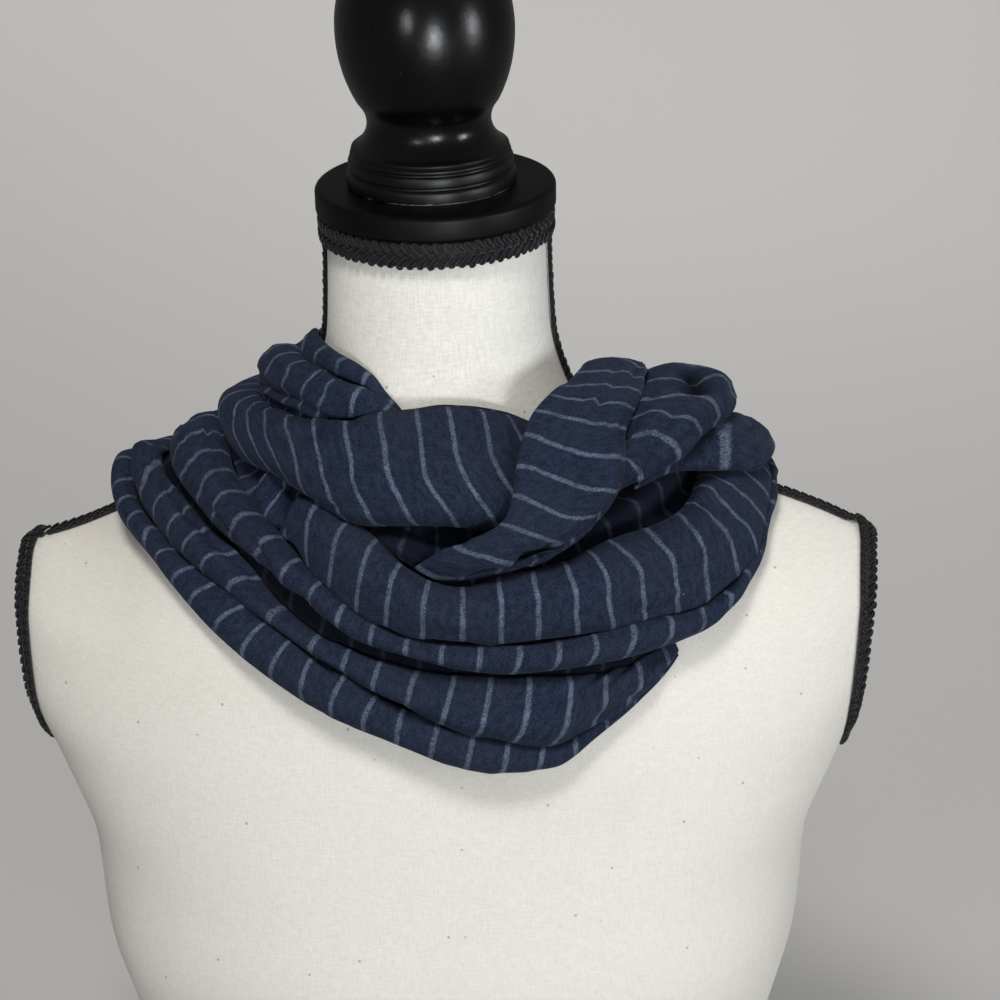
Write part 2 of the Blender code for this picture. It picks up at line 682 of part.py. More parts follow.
def make_neck_braid():
    radius = form_radius(0.0, NECK_TOP - NECK_BRAID_HEIGHT / 2)
    turns = np.linspace(0, 2 * math.pi, FORM_SIDES, endpoint=False)
    outs = [np.array([math.sin(t), -math.cos(t), 0.0]) for t in turns]
    middle = NECK_TOP - CLEARANCE - NECK_BRAID_HEIGHT / 2
    centres = [out * (radius + 0.3) + np.array([0.0, 0.0, middle]) for out in outs]
    sides = [np.array([0.0, 0.0, 1.0])] * len(turns)
    widths = [NECK_BRAID_HEIGHT] * len(turns)
    strap("neck_braid", centres, sides, outs, widths, NECK_BRAID_THICKNESS, closed=True)


def make_neck_cap():
    edge = CAP_EDGE
    profile = [(CAP_RADIUS - 1.0, 0.0), (CAP_RADIUS, 1.0)]
    for turn in np.linspace(0, math.pi / 2, 4):
        radius = CAP_RADIUS - edge + edge * math.cos(turn)
        profile.append((radius, CAP_THICKNESS - edge + edge * math.sin(turn)))
    mesh = closed_stack(turned_rings(profile, FORM_SIDES, NECK_TOP + CLEARANCE))
    return add_node("neck_cap", mesh, "lacquer")


def make_finial():
    profile = [(row.radius, row.height) for row in FINIAL]
    start = math.asin(-(BALL_CENTRE - BALL_START) / BALL_LOWER)
    for turn in np.linspace(start, math.radians(84), 12):
        reach = BALL_LOWER if turn < 0 else BALL_UPPER
        profile.append((BALL_RADIUS * math.cos(turn), BALL_CENTRE + reach * math.sin(turn)))
    rings = turned_rings(profile, 32, NECK_TOP + CAP_THICKNESS + 2 * CLEARANCE)
    for ring, (_, height) in zip(rings, profile):
        ring[:, 0] += FINIAL_SHIFT - FINIAL_LEAN * height
    return add_node("finial", closed_stack(rings), "lacquer")


def clear_scene():
    for item in list(bpy.data.objects):
        bpy.data.objects.remove(item)


def main():
    clear_scene()
    make_form_body()
    make_neck_cap()
    make_finial()
    make_neck_braid()
    for side, word in ((-1, "left"), (1, "right")):
        make_arm_braid("armhole_braid_" + word, side)
        make_shoulder_braid("shoulder_braid_" + word, side)
    cloth_wall("chest_wrap_front", INNER_FRONT, inner_section)
    cloth_wall("chest_wrap_back", seam_gap(INNER_BACK), inner_section)
    cloth_wall("lowest_wrap_front", OUTER_FRONT, outer_section)
    cloth_wall("lowest_wrap_back", seam_gap(OUTER_BACK), outer_section)
    cloth_wall("neck_wrap_front", NECK_FRONT, neck_section)
    cloth_wall("neck_wrap_back", seam_gap(NECK_BACK), neck_section)
    cloth_wall("crossing", CROSSING, cross_section)
    cloth_wall("shoulder_roll", SHOULDER, shoulder_section)
    cloth_wall("stretch_behind", BEHIND, behind_section)


def seam_gap(rows):
    """The same rows, with both end stations drawn back a little from the seam."""
    drawn = 0.4
    first = rows[0]._replace(angle=rows[0].angle + drawn)
    last = rows[-1]._replace(angle=rows[-1].angle - drawn)
    return [first] + rows[1:-1] + [last]


main()
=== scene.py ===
# %% [markdown]
# # An infinity scarf on a dress form
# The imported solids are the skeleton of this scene. Every soft or decorative piece is modelled
# again at full detail over them, and stands where its solid is.

import math
from collections import namedtuple

import bmesh
import bpy
import numpy as np
from mathutils import Matrix, Vector, noise


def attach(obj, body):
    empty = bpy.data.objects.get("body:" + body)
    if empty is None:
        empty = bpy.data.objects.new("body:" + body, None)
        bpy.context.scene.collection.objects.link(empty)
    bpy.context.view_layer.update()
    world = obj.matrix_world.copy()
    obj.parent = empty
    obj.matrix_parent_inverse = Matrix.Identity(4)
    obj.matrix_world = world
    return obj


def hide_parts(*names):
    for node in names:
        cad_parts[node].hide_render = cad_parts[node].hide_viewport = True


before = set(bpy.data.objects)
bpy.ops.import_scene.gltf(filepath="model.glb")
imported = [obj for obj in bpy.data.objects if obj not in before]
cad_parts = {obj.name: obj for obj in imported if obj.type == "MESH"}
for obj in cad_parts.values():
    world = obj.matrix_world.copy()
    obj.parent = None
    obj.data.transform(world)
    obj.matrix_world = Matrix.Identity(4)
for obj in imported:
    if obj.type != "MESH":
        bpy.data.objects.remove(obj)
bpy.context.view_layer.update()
MM = 0.001

# %% [markdown]
# ## Camera
# A portrait of a garment is taken from a little above the shoulders with a longish lens, so that
# the folds overlap without much distortion. The camera is placed by the angles at which it
# looks at one point, which is easier to adjust than three coordinates.

# %% Camera
VIEW_DISTANCE = 1.2
VIEW_PITCH = math.radians(24.5)
VIEW_TURN = math.radians(3.0)
VIEW_ROLL = math.radians(-1.0)
VIEW_TARGET = Vector((0.026, 0.0, 0.4555))
VIEW_LENS = 93.4
VIEW_SENSOR = 36.0


def place_camera():
    back = Vector((
        math.sin(VIEW_TURN) * math.cos(VIEW_PITCH),
        -math.cos(VIEW_TURN) * math.cos(VIEW_PITCH),
        math.sin(VIEW_PITCH),
    ))
    level = (-back).cross(Vector((0, 0, 1))).normalized()
    upright = level.cross(-back).normalized()
    right = level * math.cos(VIEW_ROLL) + upright * math.sin(VIEW_ROLL)
    up = upright * math.cos(VIEW_ROLL) - level * math.sin(VIEW_ROLL)
    lens = bpy.data.cameras.new("portrait_camera")
    lens.lens = VIEW_LENS
    lens.sensor_width = VIEW_SENSOR
    camera = bpy.data.objects.new("portrait_camera", lens)
    turn = Matrix((right, up, back)).transposed().to_4x4()
    camera.matrix_world = Matrix.Translation(VIEW_TARGET + back * VIEW_DISTANCE) @ turn
    bpy.context.scene.collection.objects.link(camera)
    bpy.context.scene.camera = camera
    return camera


camera = place_camera()
print("camera at", [round(value, 3) for value in camera.location])

# %% [markdown]
# ## Floor and light
# Knitted cloth shows its shape through soft gradients, so most of the light is broad and comes
# from above. Three smaller windows at eye level give the black knob its highlights, and the
# broad lamps and the plain pale floor are kept out of its reflections. A wash of light on the
# floor behind keeps the background pale.

# %% Floor and light
FLOOR_COLOUR = (0.53, 0.522, 0.51)
LIGHT_AIM = Vector((0.0, 0.0, 0.48))
WASH_PLACE = Vector((0.0, 3.2, 2.4))
WASH_SPREAD = math.radians(110)
WINDOW_SPREAD = math.radians(100)
ROOM_COLOUR = (0.80, 0.80, 0.79, 1)
ROOM_STRENGTH = 0.15


def make_floor():
    size = 6.0
    mesh = bpy.data.meshes.new("floor")
    corners = [(-size, -size, 0), (size, -size, 0), (size, size, 0), (-size, size, 0)]
    mesh.from_pydata(corners, [], [(0, 1, 2, 3)])
    floor = bpy.data.objects.new("floor", mesh)
    bpy.context.scene.collection.objects.link(floor)
    paint = bpy.data.materials.new("pale_floor")
    paint.use_nodes = True
    shader = paint.node_tree.nodes["Principled BSDF"]
    shader.inputs["Base Color"].default_value = (*FLOOR_COLOUR, 1)
    shader.inputs["Roughness"].default_value = 0.9
    mesh.materials.append(paint)
    return floor


def area_light(name, size, power, colour):
    """A rectangular lamp that shines straight down until it is turned."""
    data = bpy.data.lights.new(name, "AREA")
    data.shape = "RECTANGLE"
    data.size, data.size_y = size
    data.energy = power
    data.color = colour
    light = bpy.data.objects.new(name, data)
    bpy.context.scene.collection.objects.link(light)
    return light


def add_light(name, turn, rise, distance, size, power, colour):
    """A soft light that faces the chest from a turn and rise given in degrees."""
    turn = math.radians(turn)
    rise = math.radians(rise)
    away = Vector((math.sin(turn) * math.cos(rise), -math.cos(turn) * math.cos(rise), math.sin(rise)))
    light = area_light(name, size, power, colour)
    light.location = LIGHT_AIM + away * distance
    light.rotation_euler = away.to_track_quat("Z", "Y").to_euler()
    return light


floor = make_floor()
floor.visible_glossy = False
ceiling = add_light("ceiling", -12, 62, 2.0, (0.5, 0.4), 25, (1.0, 0.975, 0.94))
windows = [
    add_light("window_left", -17, 12.5, 2.2, (0.28, 0.36), 1.2, (0.97, 0.98, 1.0)),
    add_light("window_front", 16, 0, 2.2, (0.36, 0.44), 5.2, (0.93, 0.965, 1.0)),
    add_light("window_side", 67, 5, 2.2, (0.34, 0.55), 3.3, (0.95, 0.97, 1.0)),
]
room_front = add_light("room_front", 30, 38, 2.4, (1.2, 0.8), 4, (1.0, 0.985, 0.96))
room_back = add_light("room_back", 172, 32, 2.2, (1.4, 1.0), 14, (0.97, 0.98, 1.0))
floor_wash = area_light("floor_wash", (4.5, 2.0), 38, (1.0, 0.99, 0.97))
floor_wash.location = WASH_PLACE
floor_wash.data.spread = WASH_SPREAD
for lamp in (ceiling, room_front, room_back, floor_wash):
    lamp.visible_glossy = False
for lamp in windows:
    lamp.data.spread = WINDOW_SPREAD
world = bpy.data.worlds.new("room")
world.use_nodes = True
background = world.node_tree.nodes["Background"].inputs
background["Color"].default_value = ROOM_COLOUR
background["Strength"].default_value = ROOM_STRENGTH
bpy.context.scene.world = world
bpy.context.scene.view_settings.view_transform = "Standard"

# %% [markdown]
# ## A small kit for shader nodes
# Node trees written out in full are hard to read. These helpers place one node, join sockets and
# hand back the output, so that a finish below reads like a recipe.

# %% Helpers for shader nodes
class Recipe:
    """Adds nodes to a tree, one call for each step."""

    def __init__(self, tree):
        self.tree = tree

    def node(self, kind, **settings):
        made = self.tree.nodes.new(kind)
        for key, value in settings.items():
            setattr(made, key, value)
        return made

    def feed(self, socket, value):
        if isinstance(value, bpy.types.NodeSocket):
            self.tree.links.new(value, socket)
        else:
            socket.default_value = value

    def math(self, operation, a, b=0.0, c=None, clamp=False):
        made = self.node("ShaderNodeMath", operation=operation, use_clamp=clamp)
        self.feed(made.inputs[0], a)
        self.feed(made.inputs[1], b)
        if c is not None:
            self.feed(made.inputs[2], c)
        return made.outputs[0]

    def smooth(self, value, low, high, out_low=0.0, out_high=1.0):
        made = self.node("ShaderNodeMapRange", interpolation_type="SMOOTHSTEP")
        numbers = (value, low, high, out_low, out_high)
        for socket, number in zip(made.inputs, numbers):
            self.feed(socket, number)
        return made.outputs[0]

    def mix(self, share, a, b):
        made = self.node("ShaderNodeMix", data_type="RGBA")
        self.feed(made.inputs[0], share)
        self.feed(made.inputs[6], a)
        self.feed(made.inputs[7], b)
        return made.outputs[2]

    def scaled(self, vector, scale):
        made = self.node("ShaderNodeVectorMath", operation="MULTIPLY")
        self.feed(made.inputs[0], vector)
        self.feed(made.inputs[1], scale)
        return made.outputs[0]

    def noise(self, vector, scale, detail=2.0, rough=0.5):
        made = self.node("ShaderNodeTexNoise")
        self.feed(made.inputs["Vector"], vector)
        self.feed(made.inputs["Scale"], scale)
        self.feed(made.inputs["Detail"], detail)
        self.feed(made.inputs["Roughness"], rough)
        return made.outputs["Fac"]

    def cells(self, vector, scale):
        made = self.node("ShaderNodeTexVoronoi", feature="F1")
        self.feed(made.inputs["Vector"], vector)
        self.feed(made.inputs["Scale"], scale)
        return made.outputs["Distance"]

    def parts(self, vector):
        made = self.node("ShaderNodeSeparateXYZ")
        self.feed(made.inputs[0], vector)
        return made.outputs

    def raise_by(self, shader, height, strength, distance):
        """Feeds a shader's normal from a height, through a Bump node."""
        made = self.node("ShaderNodeBump")
        made.inputs["Strength"].default_value = strength
        made.inputs["Distance"].default_value = distance
        self.feed(made.inputs["Height"], height)
        self.feed(shader.inputs["Normal"], made.outputs[0])


def new_group(name, inputs, outputs):
    """An empty shader group: inputs are (name, kind, value) and outputs (name, kind)."""
    group = bpy.data.node_groups.new(name, "ShaderNodeTree")
    for label, kind, value in inputs:
        socket = group.interface.new_socket(label, in_out="INPUT", socket_type=kind)
        if value is not None:
            socket.default_value = value
    for label, kind in outputs:
        group.interface.new_socket(label, in_out="OUTPUT", socket_type=kind)
    recipe = Recipe(group)
    start = recipe.node("NodeGroupInput").outputs
    end = recipe.node("NodeGroupOutput").inputs
    return group, recipe, start, end


def place_group(recipe, group, **values):
    """A use of a group in a material; a value is a number, colour or socket."""
    made = recipe.node("ShaderNodeGroup", node_tree=group)
    for label, value in values.items():
        recipe.feed(made.inputs[label.replace("_", " ")], value)
    return made.outputs


def new_finish(name, **constants):
    """A material with its Principled shader, and constants set on the shader itself."""
    paint = bpy.data.materials.new(name)
    paint.use_nodes = True
    shader = paint.node_tree.nodes["Principled BSDF"]
    for label, value in constants.items():
        shader.inputs[label.replace("_", " ")].default_value = value
    return paint, Recipe(paint.node_tree), shader


FLOAT, VECTOR = "NodeSocketFloat", "NodeSocketVector"
print("shader kit ready")

# %% [markdown]
# ## Fibre fuzz and specks
# Jersey, linen and braid are all yarn. Two effects are shared by them: a fuzz of fine fibres,
# which mottles the colour and lifts the surface a little, and stray specks of lint or slub.
# Each is a group built once and used with its own values.

# %% Shared groups: fibres and specks
def fibre_group():
    group, make, start, end = new_group(
        "yarn_fibres",
        [
            ("Vector", VECTOR, None),
            ("Along", FLOAT, 900.0),
            ("Across", FLOAT, 2600.0),
            ("Contrast", FLOAT, 1.0),
        ],
        [("Mottle", FLOAT), ("Height", FLOAT)],
    )
    combine = make.node("ShaderNodeCombineXYZ")
    make.feed(combine.inputs[0], start["Across"])
    make.feed(combine.inputs[1], start["Along"])
    make.feed(combine.inputs[2], start["Across"])
    stretched = make.scaled(start["Vector"], combine.outputs[0])
    fine = make.noise(stretched, 1.0, 3.0, 0.62)
    coarse = make.noise(stretched, 0.23, 2.0, 0.5)
    both = make.math("ADD", make.math("MULTIPLY", fine, 0.65), make.math("MULTIPLY", coarse, 0.35))
    centred = make.math("MULTIPLY", make.math("SUBTRACT", both, 0.5), start["Contrast"])
    make.feed(end["Mottle"], make.math("ADD", make.math("MULTIPLY", centred, 3.2), 0.5, clamp=True))
    make.feed(end["Height"], fine)
    return group


def speck_group():
    group, make, start, end = new_group(
        "stray_specks",
        [("Vector", VECTOR, None), ("Scale", FLOAT, 60.0), ("Size", FLOAT, 0.05)],
        [("Mask", FLOAT)],
    )
    distance = make.cells(start["Vector"], start["Scale"])
    lump = make.noise(start["Vector"], make.math("MULTIPLY", start["Scale"], 0.6), 1.0)
    present = make.smooth(lump, 0.5, 0.56)
    edge = make.math("MULTIPLY", start["Size"], 0.5)
    dot = make.smooth(distance, edge, start["Size"], 1.0, 0.0)
    make.feed(end["Mask"], make.math("MULTIPLY", dot, present))
    return group


YARN_FIBRES = fibre_group()
STRAY_SPECKS = speck_group()
print("groups:", [group.name for group in bpy.data.node_groups])

# %% [markdown]
# ## Striped heathered jersey
# The cloth is knitted from a mottled navy yarn, with a thin paler stripe every 16 mm that runs
# straight across the band. The pattern has to follow each fold, so it reads the cloth's own UV
# map, where U is the length along the scarf and V the way across it, both in metres. Deep in a
# fold or a crease the cloth gets painted shade, a near-black navy; an attribute says where.

# %% Jersey
STRIPE_PITCH = 0.016
STRIPE_WIDTH = 0.0020
NAVY_DEEP = (0.0064, 0.0100, 0.0230, 1)
NAVY_PALE = (0.0225, 0.0310, 0.0585, 1)
STRIPE_DEEP = (0.030, 0.042, 0.068, 1)
STRIPE_PALE = (0.122, 0.154, 0.218, 1)
FADED_NAVY = (0.030, 0.031, 0.043, 1)
# Painted shade: the near-black navy of deep folds and creases, and of the stretch behind.
PAINTED_SHADE_NAVY = (0.0012, 0.0016, 0.0032, 1)
LINT_GREY = (0.33, 0.34, 0.36, 1)
STRIPE_DRIFT = 0.0016
STRIPE_FRAY = 0.0012
FOLD_SHADE = 0.8


def make_jersey():
    paint, make, shader = new_finish(
        "heathered_jersey",
        Roughness=0.95,
        Specular_IOR_Level=0.1,
        Sheen_Weight=0.05,
        Sheen_Roughness=0.5,
        Sheen_Tint=(0.62, 0.64, 0.76, 1),
    )
    place = make.node("ShaderNodeUVMap", uv_map="cloth").outputs[0]
    wander = make.noise(place, 70.0, 2.0)
    ragged = make.noise(place, 1500.0, 2.0)
    drift = make.math("MULTIPLY", make.math("SUBTRACT", wander, 0.5), STRIPE_DRIFT)
    fray = make.math("MULTIPLY", make.math("SUBTRACT", ragged, 0.5), STRIPE_FRAY)
    along = make.math("ADD", make.parts(place)[0], make.math("ADD", drift, fray))
    step = make.math("DIVIDE", along, STRIPE_PITCH)
    shifted = make.math("FRACT", make.math("ADD", step, 0.5))
    near = make.math("ABSOLUTE", make.math("SUBTRACT", shifted, 0.5))
    away = make.math("MULTIPLY", near, STRIPE_PITCH)
    half = STRIPE_WIDTH / 2
    band = make.smooth(away, half - 0.0004, half + 0.0005, 1.0, 0.0)
    flecks = make.smooth(make.noise(place, 1100.0, 2.0), 0.3, 0.55, 0.45, 1.0)
    stripe = make.math("MULTIPLY", band, flecks)
    fibres = place_group(make, YARN_FIBRES, Vector=place, Along=900.0, Across=1700.0, Contrast=1.4)
    navy = make.mix(fibres["Mottle"], NAVY_DEEP, NAVY_PALE)
    pale = make.mix(fibres["Mottle"], STRIPE_DEEP, STRIPE_PALE)
    lint = place_group(make, STRAY_SPECKS, Vector=place, Scale=55.0, Size=0.022)
    cloth = make.mix(stripe, navy, pale)
    worn = make.noise(place, 22.0, 3.0)
    faded = make.mix(make.smooth(worn, 0.35, 0.75, 0.0, 0.22), cloth, FADED_NAVY)
    flecked = make.mix(lint["Mask"], faded, LINT_GREY)
    # Painted shade: an attribute mixes the cloth towards a near-black navy in folds and creases.
    depth = make.node("ShaderNodeAttribute", attribute_name="in_fold").outputs["Fac"]
    colour = make.mix(make.math("MULTIPLY", depth, FOLD_SHADE), flecked, PAINTED_SHADE_NAVY)
    make.feed(shader.inputs["Base Color"], colour)
    make.raise_by(shader, fibres["Height"], strength=0.35, distance=0.0004)
    return paint


JERSEY = make_jersey()
print("jersey stripe every", STRIPE_PITCH * 1000, "mm")

# %% [markdown]
# ## Linen, lacquer and braid
# The torso wears an off-white linen with slubby threads and a few dark specks of husk. The disc
# on the neck is satin black, the knob on it is polished black lacquer with some dust, and the
# braid is a black rayon cord with a soft shine.

# %% Linen
NECK_LINEN = (0.90, 0.89, 0.845, 1)
LINEN_LIGHT = (0.765, 0.745, 0.695, 1)
LINEN_SHADE = (0.60, 0.575, 0.52, 1)
HUSK_BROWN = (0.16, 0.14, 0.12, 1)
# The linen turns paler upwards between these heights in metres, as painted light towards the neck.
PAINTED_LIGHT_START = 0.43
PAINTED_LIGHT_FULL = 0.52


def make_linen():
    paint, make, shader = new_finish(
        "linen_cover", Roughness=0.88, Specular_IOR_Level=0.25, Sheen_Weight=0.12, Sheen_Roughness=0.6
    )
    place = make.node("ShaderNodeTexCoord").outputs["Object"]
    level = place_group(make, YARN_FIBRES, Vector=place, Along=160.0, Across=160.0, Contrast=1.0)
    weft = make.noise(make.scaled(place, (210.0, 210.0, 1350.0)), 1.0, 2.0)
    warp = make.noise(make.scaled(place, (1250.0, 1250.0, 170.0)), 1.0, 2.0)
    threads = make.math("ADD", weft, warp)
    tone = make.math("ADD", make.math("MULTIPLY", threads, 0.5), -0.5)
    cloudy = make.noise(place, 9.0, 3.0)
    shade = make.math("ADD", make.math("MULTIPLY", tone, 1.5), 0.32)
    shade = make.math("ADD", shade, make.smooth(cloudy, 0.5, 0.8, 0.0, 0.28), clamp=True)
    # Painted light: the linen is painted paler from the upper chest up to the neck.
    painted_light_off = make.smooth(make.parts(place)[2], PAINTED_LIGHT_START, PAINTED_LIGHT_FULL, 1.0, 0.0)
    light = make.mix(painted_light_off, NECK_LINEN, LINEN_LIGHT)
    cloth = make.mix(shade, light, LINEN_SHADE)
    husk = place_group(make, STRAY_SPECKS, Vector=place, Scale=95.0, Size=0.085)
    cloth = make.mix(make.math("MULTIPLY", husk["Mask"], 0.55), cloth, HUSK_BROWN)
    make.feed(shader.inputs["Base Color"], cloth)
    make.raise_by(shader, make.math("ADD", threads, level["Height"]), strength=0.28, distance=0.0004)
    return paint


LINEN = make_linen()
print("made", LINEN.name)

# %% [markdown]
# Lacquer is a hard black coat, so its look is in its roughness: a slow noise makes it hazy in
# places, and specks of dust break the shine. The disc and the knob share one function with their
# own values. The braid's cord is duller and takes the same fibres as the other yarns.

# %% Lacquer and braid
LACQUER_BLACK = (0.0010, 0.0011, 0.0015, 1)
LACQUER_HAZE = (0.0045, 0.0042, 0.0040, 1)
DUST_GREY = (0.25, 0.24, 0.22, 1)
OLD_GLUE = (0.62, 0.60, 0.55, 1)
CORD_DEEP = (0.0045, 0.0045, 0.0055, 1)
CORD_PALE = (0.021, 0.021, 0.024, 1)
CHIP_HEIGHT = 0.6107
CHIP_TILT = 0.01
FOOT_TOP = 0.627


def chipped_foot(make, place):
    """Where old glue and bare wood show, in a thin broken line round the knob's foot."""
    x, _, z = make.parts(place)
    level = make.math("SUBTRACT", z, make.math("MULTIPLY", x, CHIP_TILT))
    ragged = make.math("MULTIPLY", make.noise(place, 420.0, 3.0), 0.0016)
    line = make.smooth(make.math("ADD", level, ragged), CHIP_HEIGHT, CHIP_HEIGHT + 0.0002, 1.0, 0.0)
    broken = make.smooth(make.noise(place, 60.0, 2.0), 0.47, 0.52)
    return make.math("MULTIPLY", line, broken)


def make_lacquer(name, roughness, gloss, dust, has_foot=False):
    paint, make, shader = new_finish(name, Specular_IOR_Level=gloss)
    place = make.node("ShaderNodeTexCoord").outputs["Object"]
    peel = make.noise(place, 260.0, 3.0)
    haze = make.noise(place, 38.0, 4.0)
    lint = place_group(make, STRAY_SPECKS, Vector=place, Scale=240.0, Size=0.07)
    dusty = make.math("MULTIPLY", lint["Mask"], dust)
    clouded = make.smooth(haze, 0.45, 0.75, 0.0, 0.35)
    black = make.mix(clouded, LACQUER_BLACK, LACQUER_HAZE)
    dusted = make.mix(dusty, black, DUST_GREY)
    rough = make.smooth(haze, 0.0, 1.0, roughness - 0.08, roughness + 0.08)
    if has_foot:
        chips = chipped_foot(make, place)
        dusted = make.mix(chips, dusted, OLD_GLUE)
        duller = make.smooth(make.parts(place)[2], FOOT_TOP - 0.001, FOOT_TOP + 0.002, 0.16, 0.0)
        rough = make.math("ADD", rough, duller)
    make.feed(shader.inputs["Base Color"], dusted)
    make.feed(shader.inputs["Roughness"], rough)
    ripple = make.math("ADD", make.math("MULTIPLY", peel, 0.5), haze)
    make.raise_by(shader, ripple, strength=0.2, distance=0.0008)
    return paint


def make_braid_finish():
    paint, make, shader = new_finish(
        "rayon_braid", Specular_IOR_Level=0.32, Sheen_Weight=0.15, Sheen_Roughness=0.35
    )
    place = make.node("ShaderNodeTexCoord").outputs["Object"]
    fibres = place_group(make, YARN_FIBRES, Vector=place, Along=1500.0, Across=1500.0, Contrast=1.0)
    colour = make.mix(fibres["Mottle"], CORD_DEEP, CORD_PALE)
    make.feed(shader.inputs["Base Color"], colour)
    make.feed(shader.inputs["Roughness"], make.smooth(fibres["Mottle"], 0.0, 1.0, 0.42, 0.66))
    make.raise_by(shader, fibres["Height"], strength=0.4, distance=0.0002)
    return paint


SATIN_BLACK = make_lacquer("satin_black_disc", 0.48, 0.25, 0.2)
GLOSS_BLACK = make_lacquer("gloss_black_knob", 0.27, 0.42, 0.3, has_foot=True)
BRAID = make_braid_finish()
print("made", SATIN_BLACK.name, GLOSS_BLACK.name, BRAID.name)

# %% [markdown]
# ## A chart of the form
# Everything soft on this object lies on the torso, so places are given on a chart of its surface:
# an angle round the axis, a distance down from the foot of the neck, and a lift away from it.
# The torso itself is a table of rounded sections with a smooth curve run through each column.

# %% The form's sections
NECK_TOP = 598.0
CHART_ORIGIN = 545.0
CHART_SMOOTHING = 22.0
CLEARANCE = 0.35
FormSection = namedtuple("FormSection", "height half_width front back squareness")
FORM = [
    FormSection(0, 150, 98, 88, 2.2),
    FormSection(35, 140, 94, 80, 2.2),
    FormSection(75, 131, 90, 74, 2.15),
    FormSection(120, 136, 97, 74, 2.2),
    FormSection(175, 150, 114, 80, 2.3),
    FormSection(215, 160, 128, 85, 2.4),
    FormSection(255, 168, 131, 90, 2.5),
    FormSection(300, 171, 124, 96, 2.5),
    FormSection(345, 187, 116, 99, 2.4),
    FormSection(390, 204, 108, 99, 2.2),
    FormSection(420, 207, 102, 95, 1.95),
    FormSection(440, 197, 97, 88, 1.7),
    FormSection(452, 176, 93, 82, 1.6),
    FormSection(464, 146, 88, 76, 1.6),
    FormSection(477, 112, 82, 70, 1.65),
    FormSection(490, 84, 74, 64, 1.8),
    FormSection(503, 66, 64, 58, 1.9),
    FormSection(520, 56, 56, 53, 2.0),
    FormSection(545, 50, 50, 50, 2.0),
    FormSection(NECK_TOP, 48, 48, 48, 2.0),
]


def smooth_through(knots, values, at):
    """A curve through the knots that adds no bumps between them."""
    knots = np.asarray(knots, float)
    values = np.asarray(values, float)
    step = np.diff(knots)
    rise = np.diff(values) / step
    slope = np.zeros(len(values))
    slope[0] = rise[0]
    slope[-1] = rise[-1]
    for i in range(1, len(knots) - 1):
        if rise[i - 1] * rise[i] > 0:
            before = 2 * step[i] + step[i - 1]
            after = step[i] + 2 * step[i - 1]
            slope[i] = (before + after) / (before / rise[i - 1] + after / rise[i])
    at = np.asarray(at, float)
    i = np.clip(np.searchsorted(knots, at) - 1, 0, len(knots) - 2)
    t = (at - knots[i]) / step[i]
    return (
        (1 + 2 * t) * (1 - t) ** 2 * values[i]
        + t * (1 - t) ** 2 * step[i] * slope[i]
        + t * t * (3 - 2 * t) * values[i + 1]
        + t * t * (t - 1) * step[i] * slope[i + 1]
    )


def form_column(name, height):
    heights = [section.height for section in FORM]
    return smooth_through(heights, [getattr(section, name) for section in FORM], height)


print("form:", len(FORM), "sections")

# %% [markdown]
# The radius at an angle follows a rounded rectangle (a superellipse), and a place on the chart is
# found by measuring along the profile at that angle. The lift's direction is averaged over a few
# centimetres, as cloth bridges the hollow at the foot of the neck.

# %% Places on the chart
def form_radius(angle, height):
    """Distance from the axis to the form's surface; the angle is in radians."""
    depth = form_column("front" if math.cos(angle) > 0 else "back", height)
    power = form_column("squareness", height)
    wide = (abs(math.sin(angle)) / form_column("half_width", height)) ** power
    deep = (abs(math.cos(angle)) / depth) ** power
    return (wide + deep) ** (-1 / power)


CHART_END = 100.0
CHART_HEIGHTS = np.linspace(NECK_TOP, CHART_END, 400)


def meridian(angle):
    radius = form_radius(angle, CHART_HEIGHTS)
    run = np.hypot(np.diff(radius), np.diff(CHART_HEIGHTS))
    return radius, np.concatenate([[0.0], np.cumsum(run)])


def on_form(angle, distance, lift):
    """Point and outward direction at a place on the chart."""
    turn = math.radians(angle)
    radius, run = meridian(turn)
    at = np.interp(-CHART_ORIGIN, -CHART_HEIGHTS, run) + distance
    reach = np.array([at - CHART_SMOOTHING, at, at + CHART_SMOOTHING])
    r = np.interp(reach, run, radius)
    z = np.interp(reach, run, CHART_HEIGHTS)
    out = np.array([z[0] - z[2], r[2] - r[0]])
    out /= np.linalg.norm(out)
    around = np.array([math.sin(turn), -math.cos(turn)])
    point = np.array([*(around * (r[1] + out[0] * lift)), z[1] + out[1] * lift])
    return point, np.array([*(around * out[0]), out[1]])


def unit(vector):
    return vector / np.linalg.norm(vector)


probe, _ = on_form(0.0, 100.0, 0.0)
print("100 mm down the front:", np.round(probe, 1))

# %% [markdown]
# ## Small unevenness of the form
# A hand-covered form isn't true. Its neck disc tips a hair and its left shoulder sits lower.
# One function moves every point of the form and of what is sewn to it, so they stay together.

# %% Settling
CAP_TILT = 0.01
TILT_START = 540.0
TILT_RUN = 45.0
LEFT_DROP_X = (-210.0, -196.0, -168.0, -148.0, -118.0, -92.0, 0.0, 230.0)
LEFT_DROP = (6.0, 7.5, 11.5, 10.5, 4.0, 0.0, 0.0, 0.0)
DROP_START = 335.0
DROP_RUN = 75.0


def ease(value):
    value = np.clip(value, 0.0, 1.0)
    return value * value * (3 - 2 * value)


def settled(points):
    points = np.array(points, float).reshape(-1, 3)
    x, _, z = points.T
    tilt = ease((z - TILT_START) / TILT_RUN)
    drop = smooth_through(LEFT_DROP_X, LEFT_DROP, np.maximum(x, LEFT_DROP_X[0]))
    points[:, 2] += CAP_TILT * x * tilt - drop * ease((z - DROP_START) / DROP_RUN)
    return points


print("left shoulder drops", max(LEFT_DROP), "mm")

# %% [markdown]
# ## Handing a piece over
# Every finished piece is a plain mesh at the origin that rides on the one body of this object.
# A small function does that the same way each time and reports the size of the mesh.

# %% Finishing helpers
ANGLE_SHARP = math.radians(48)


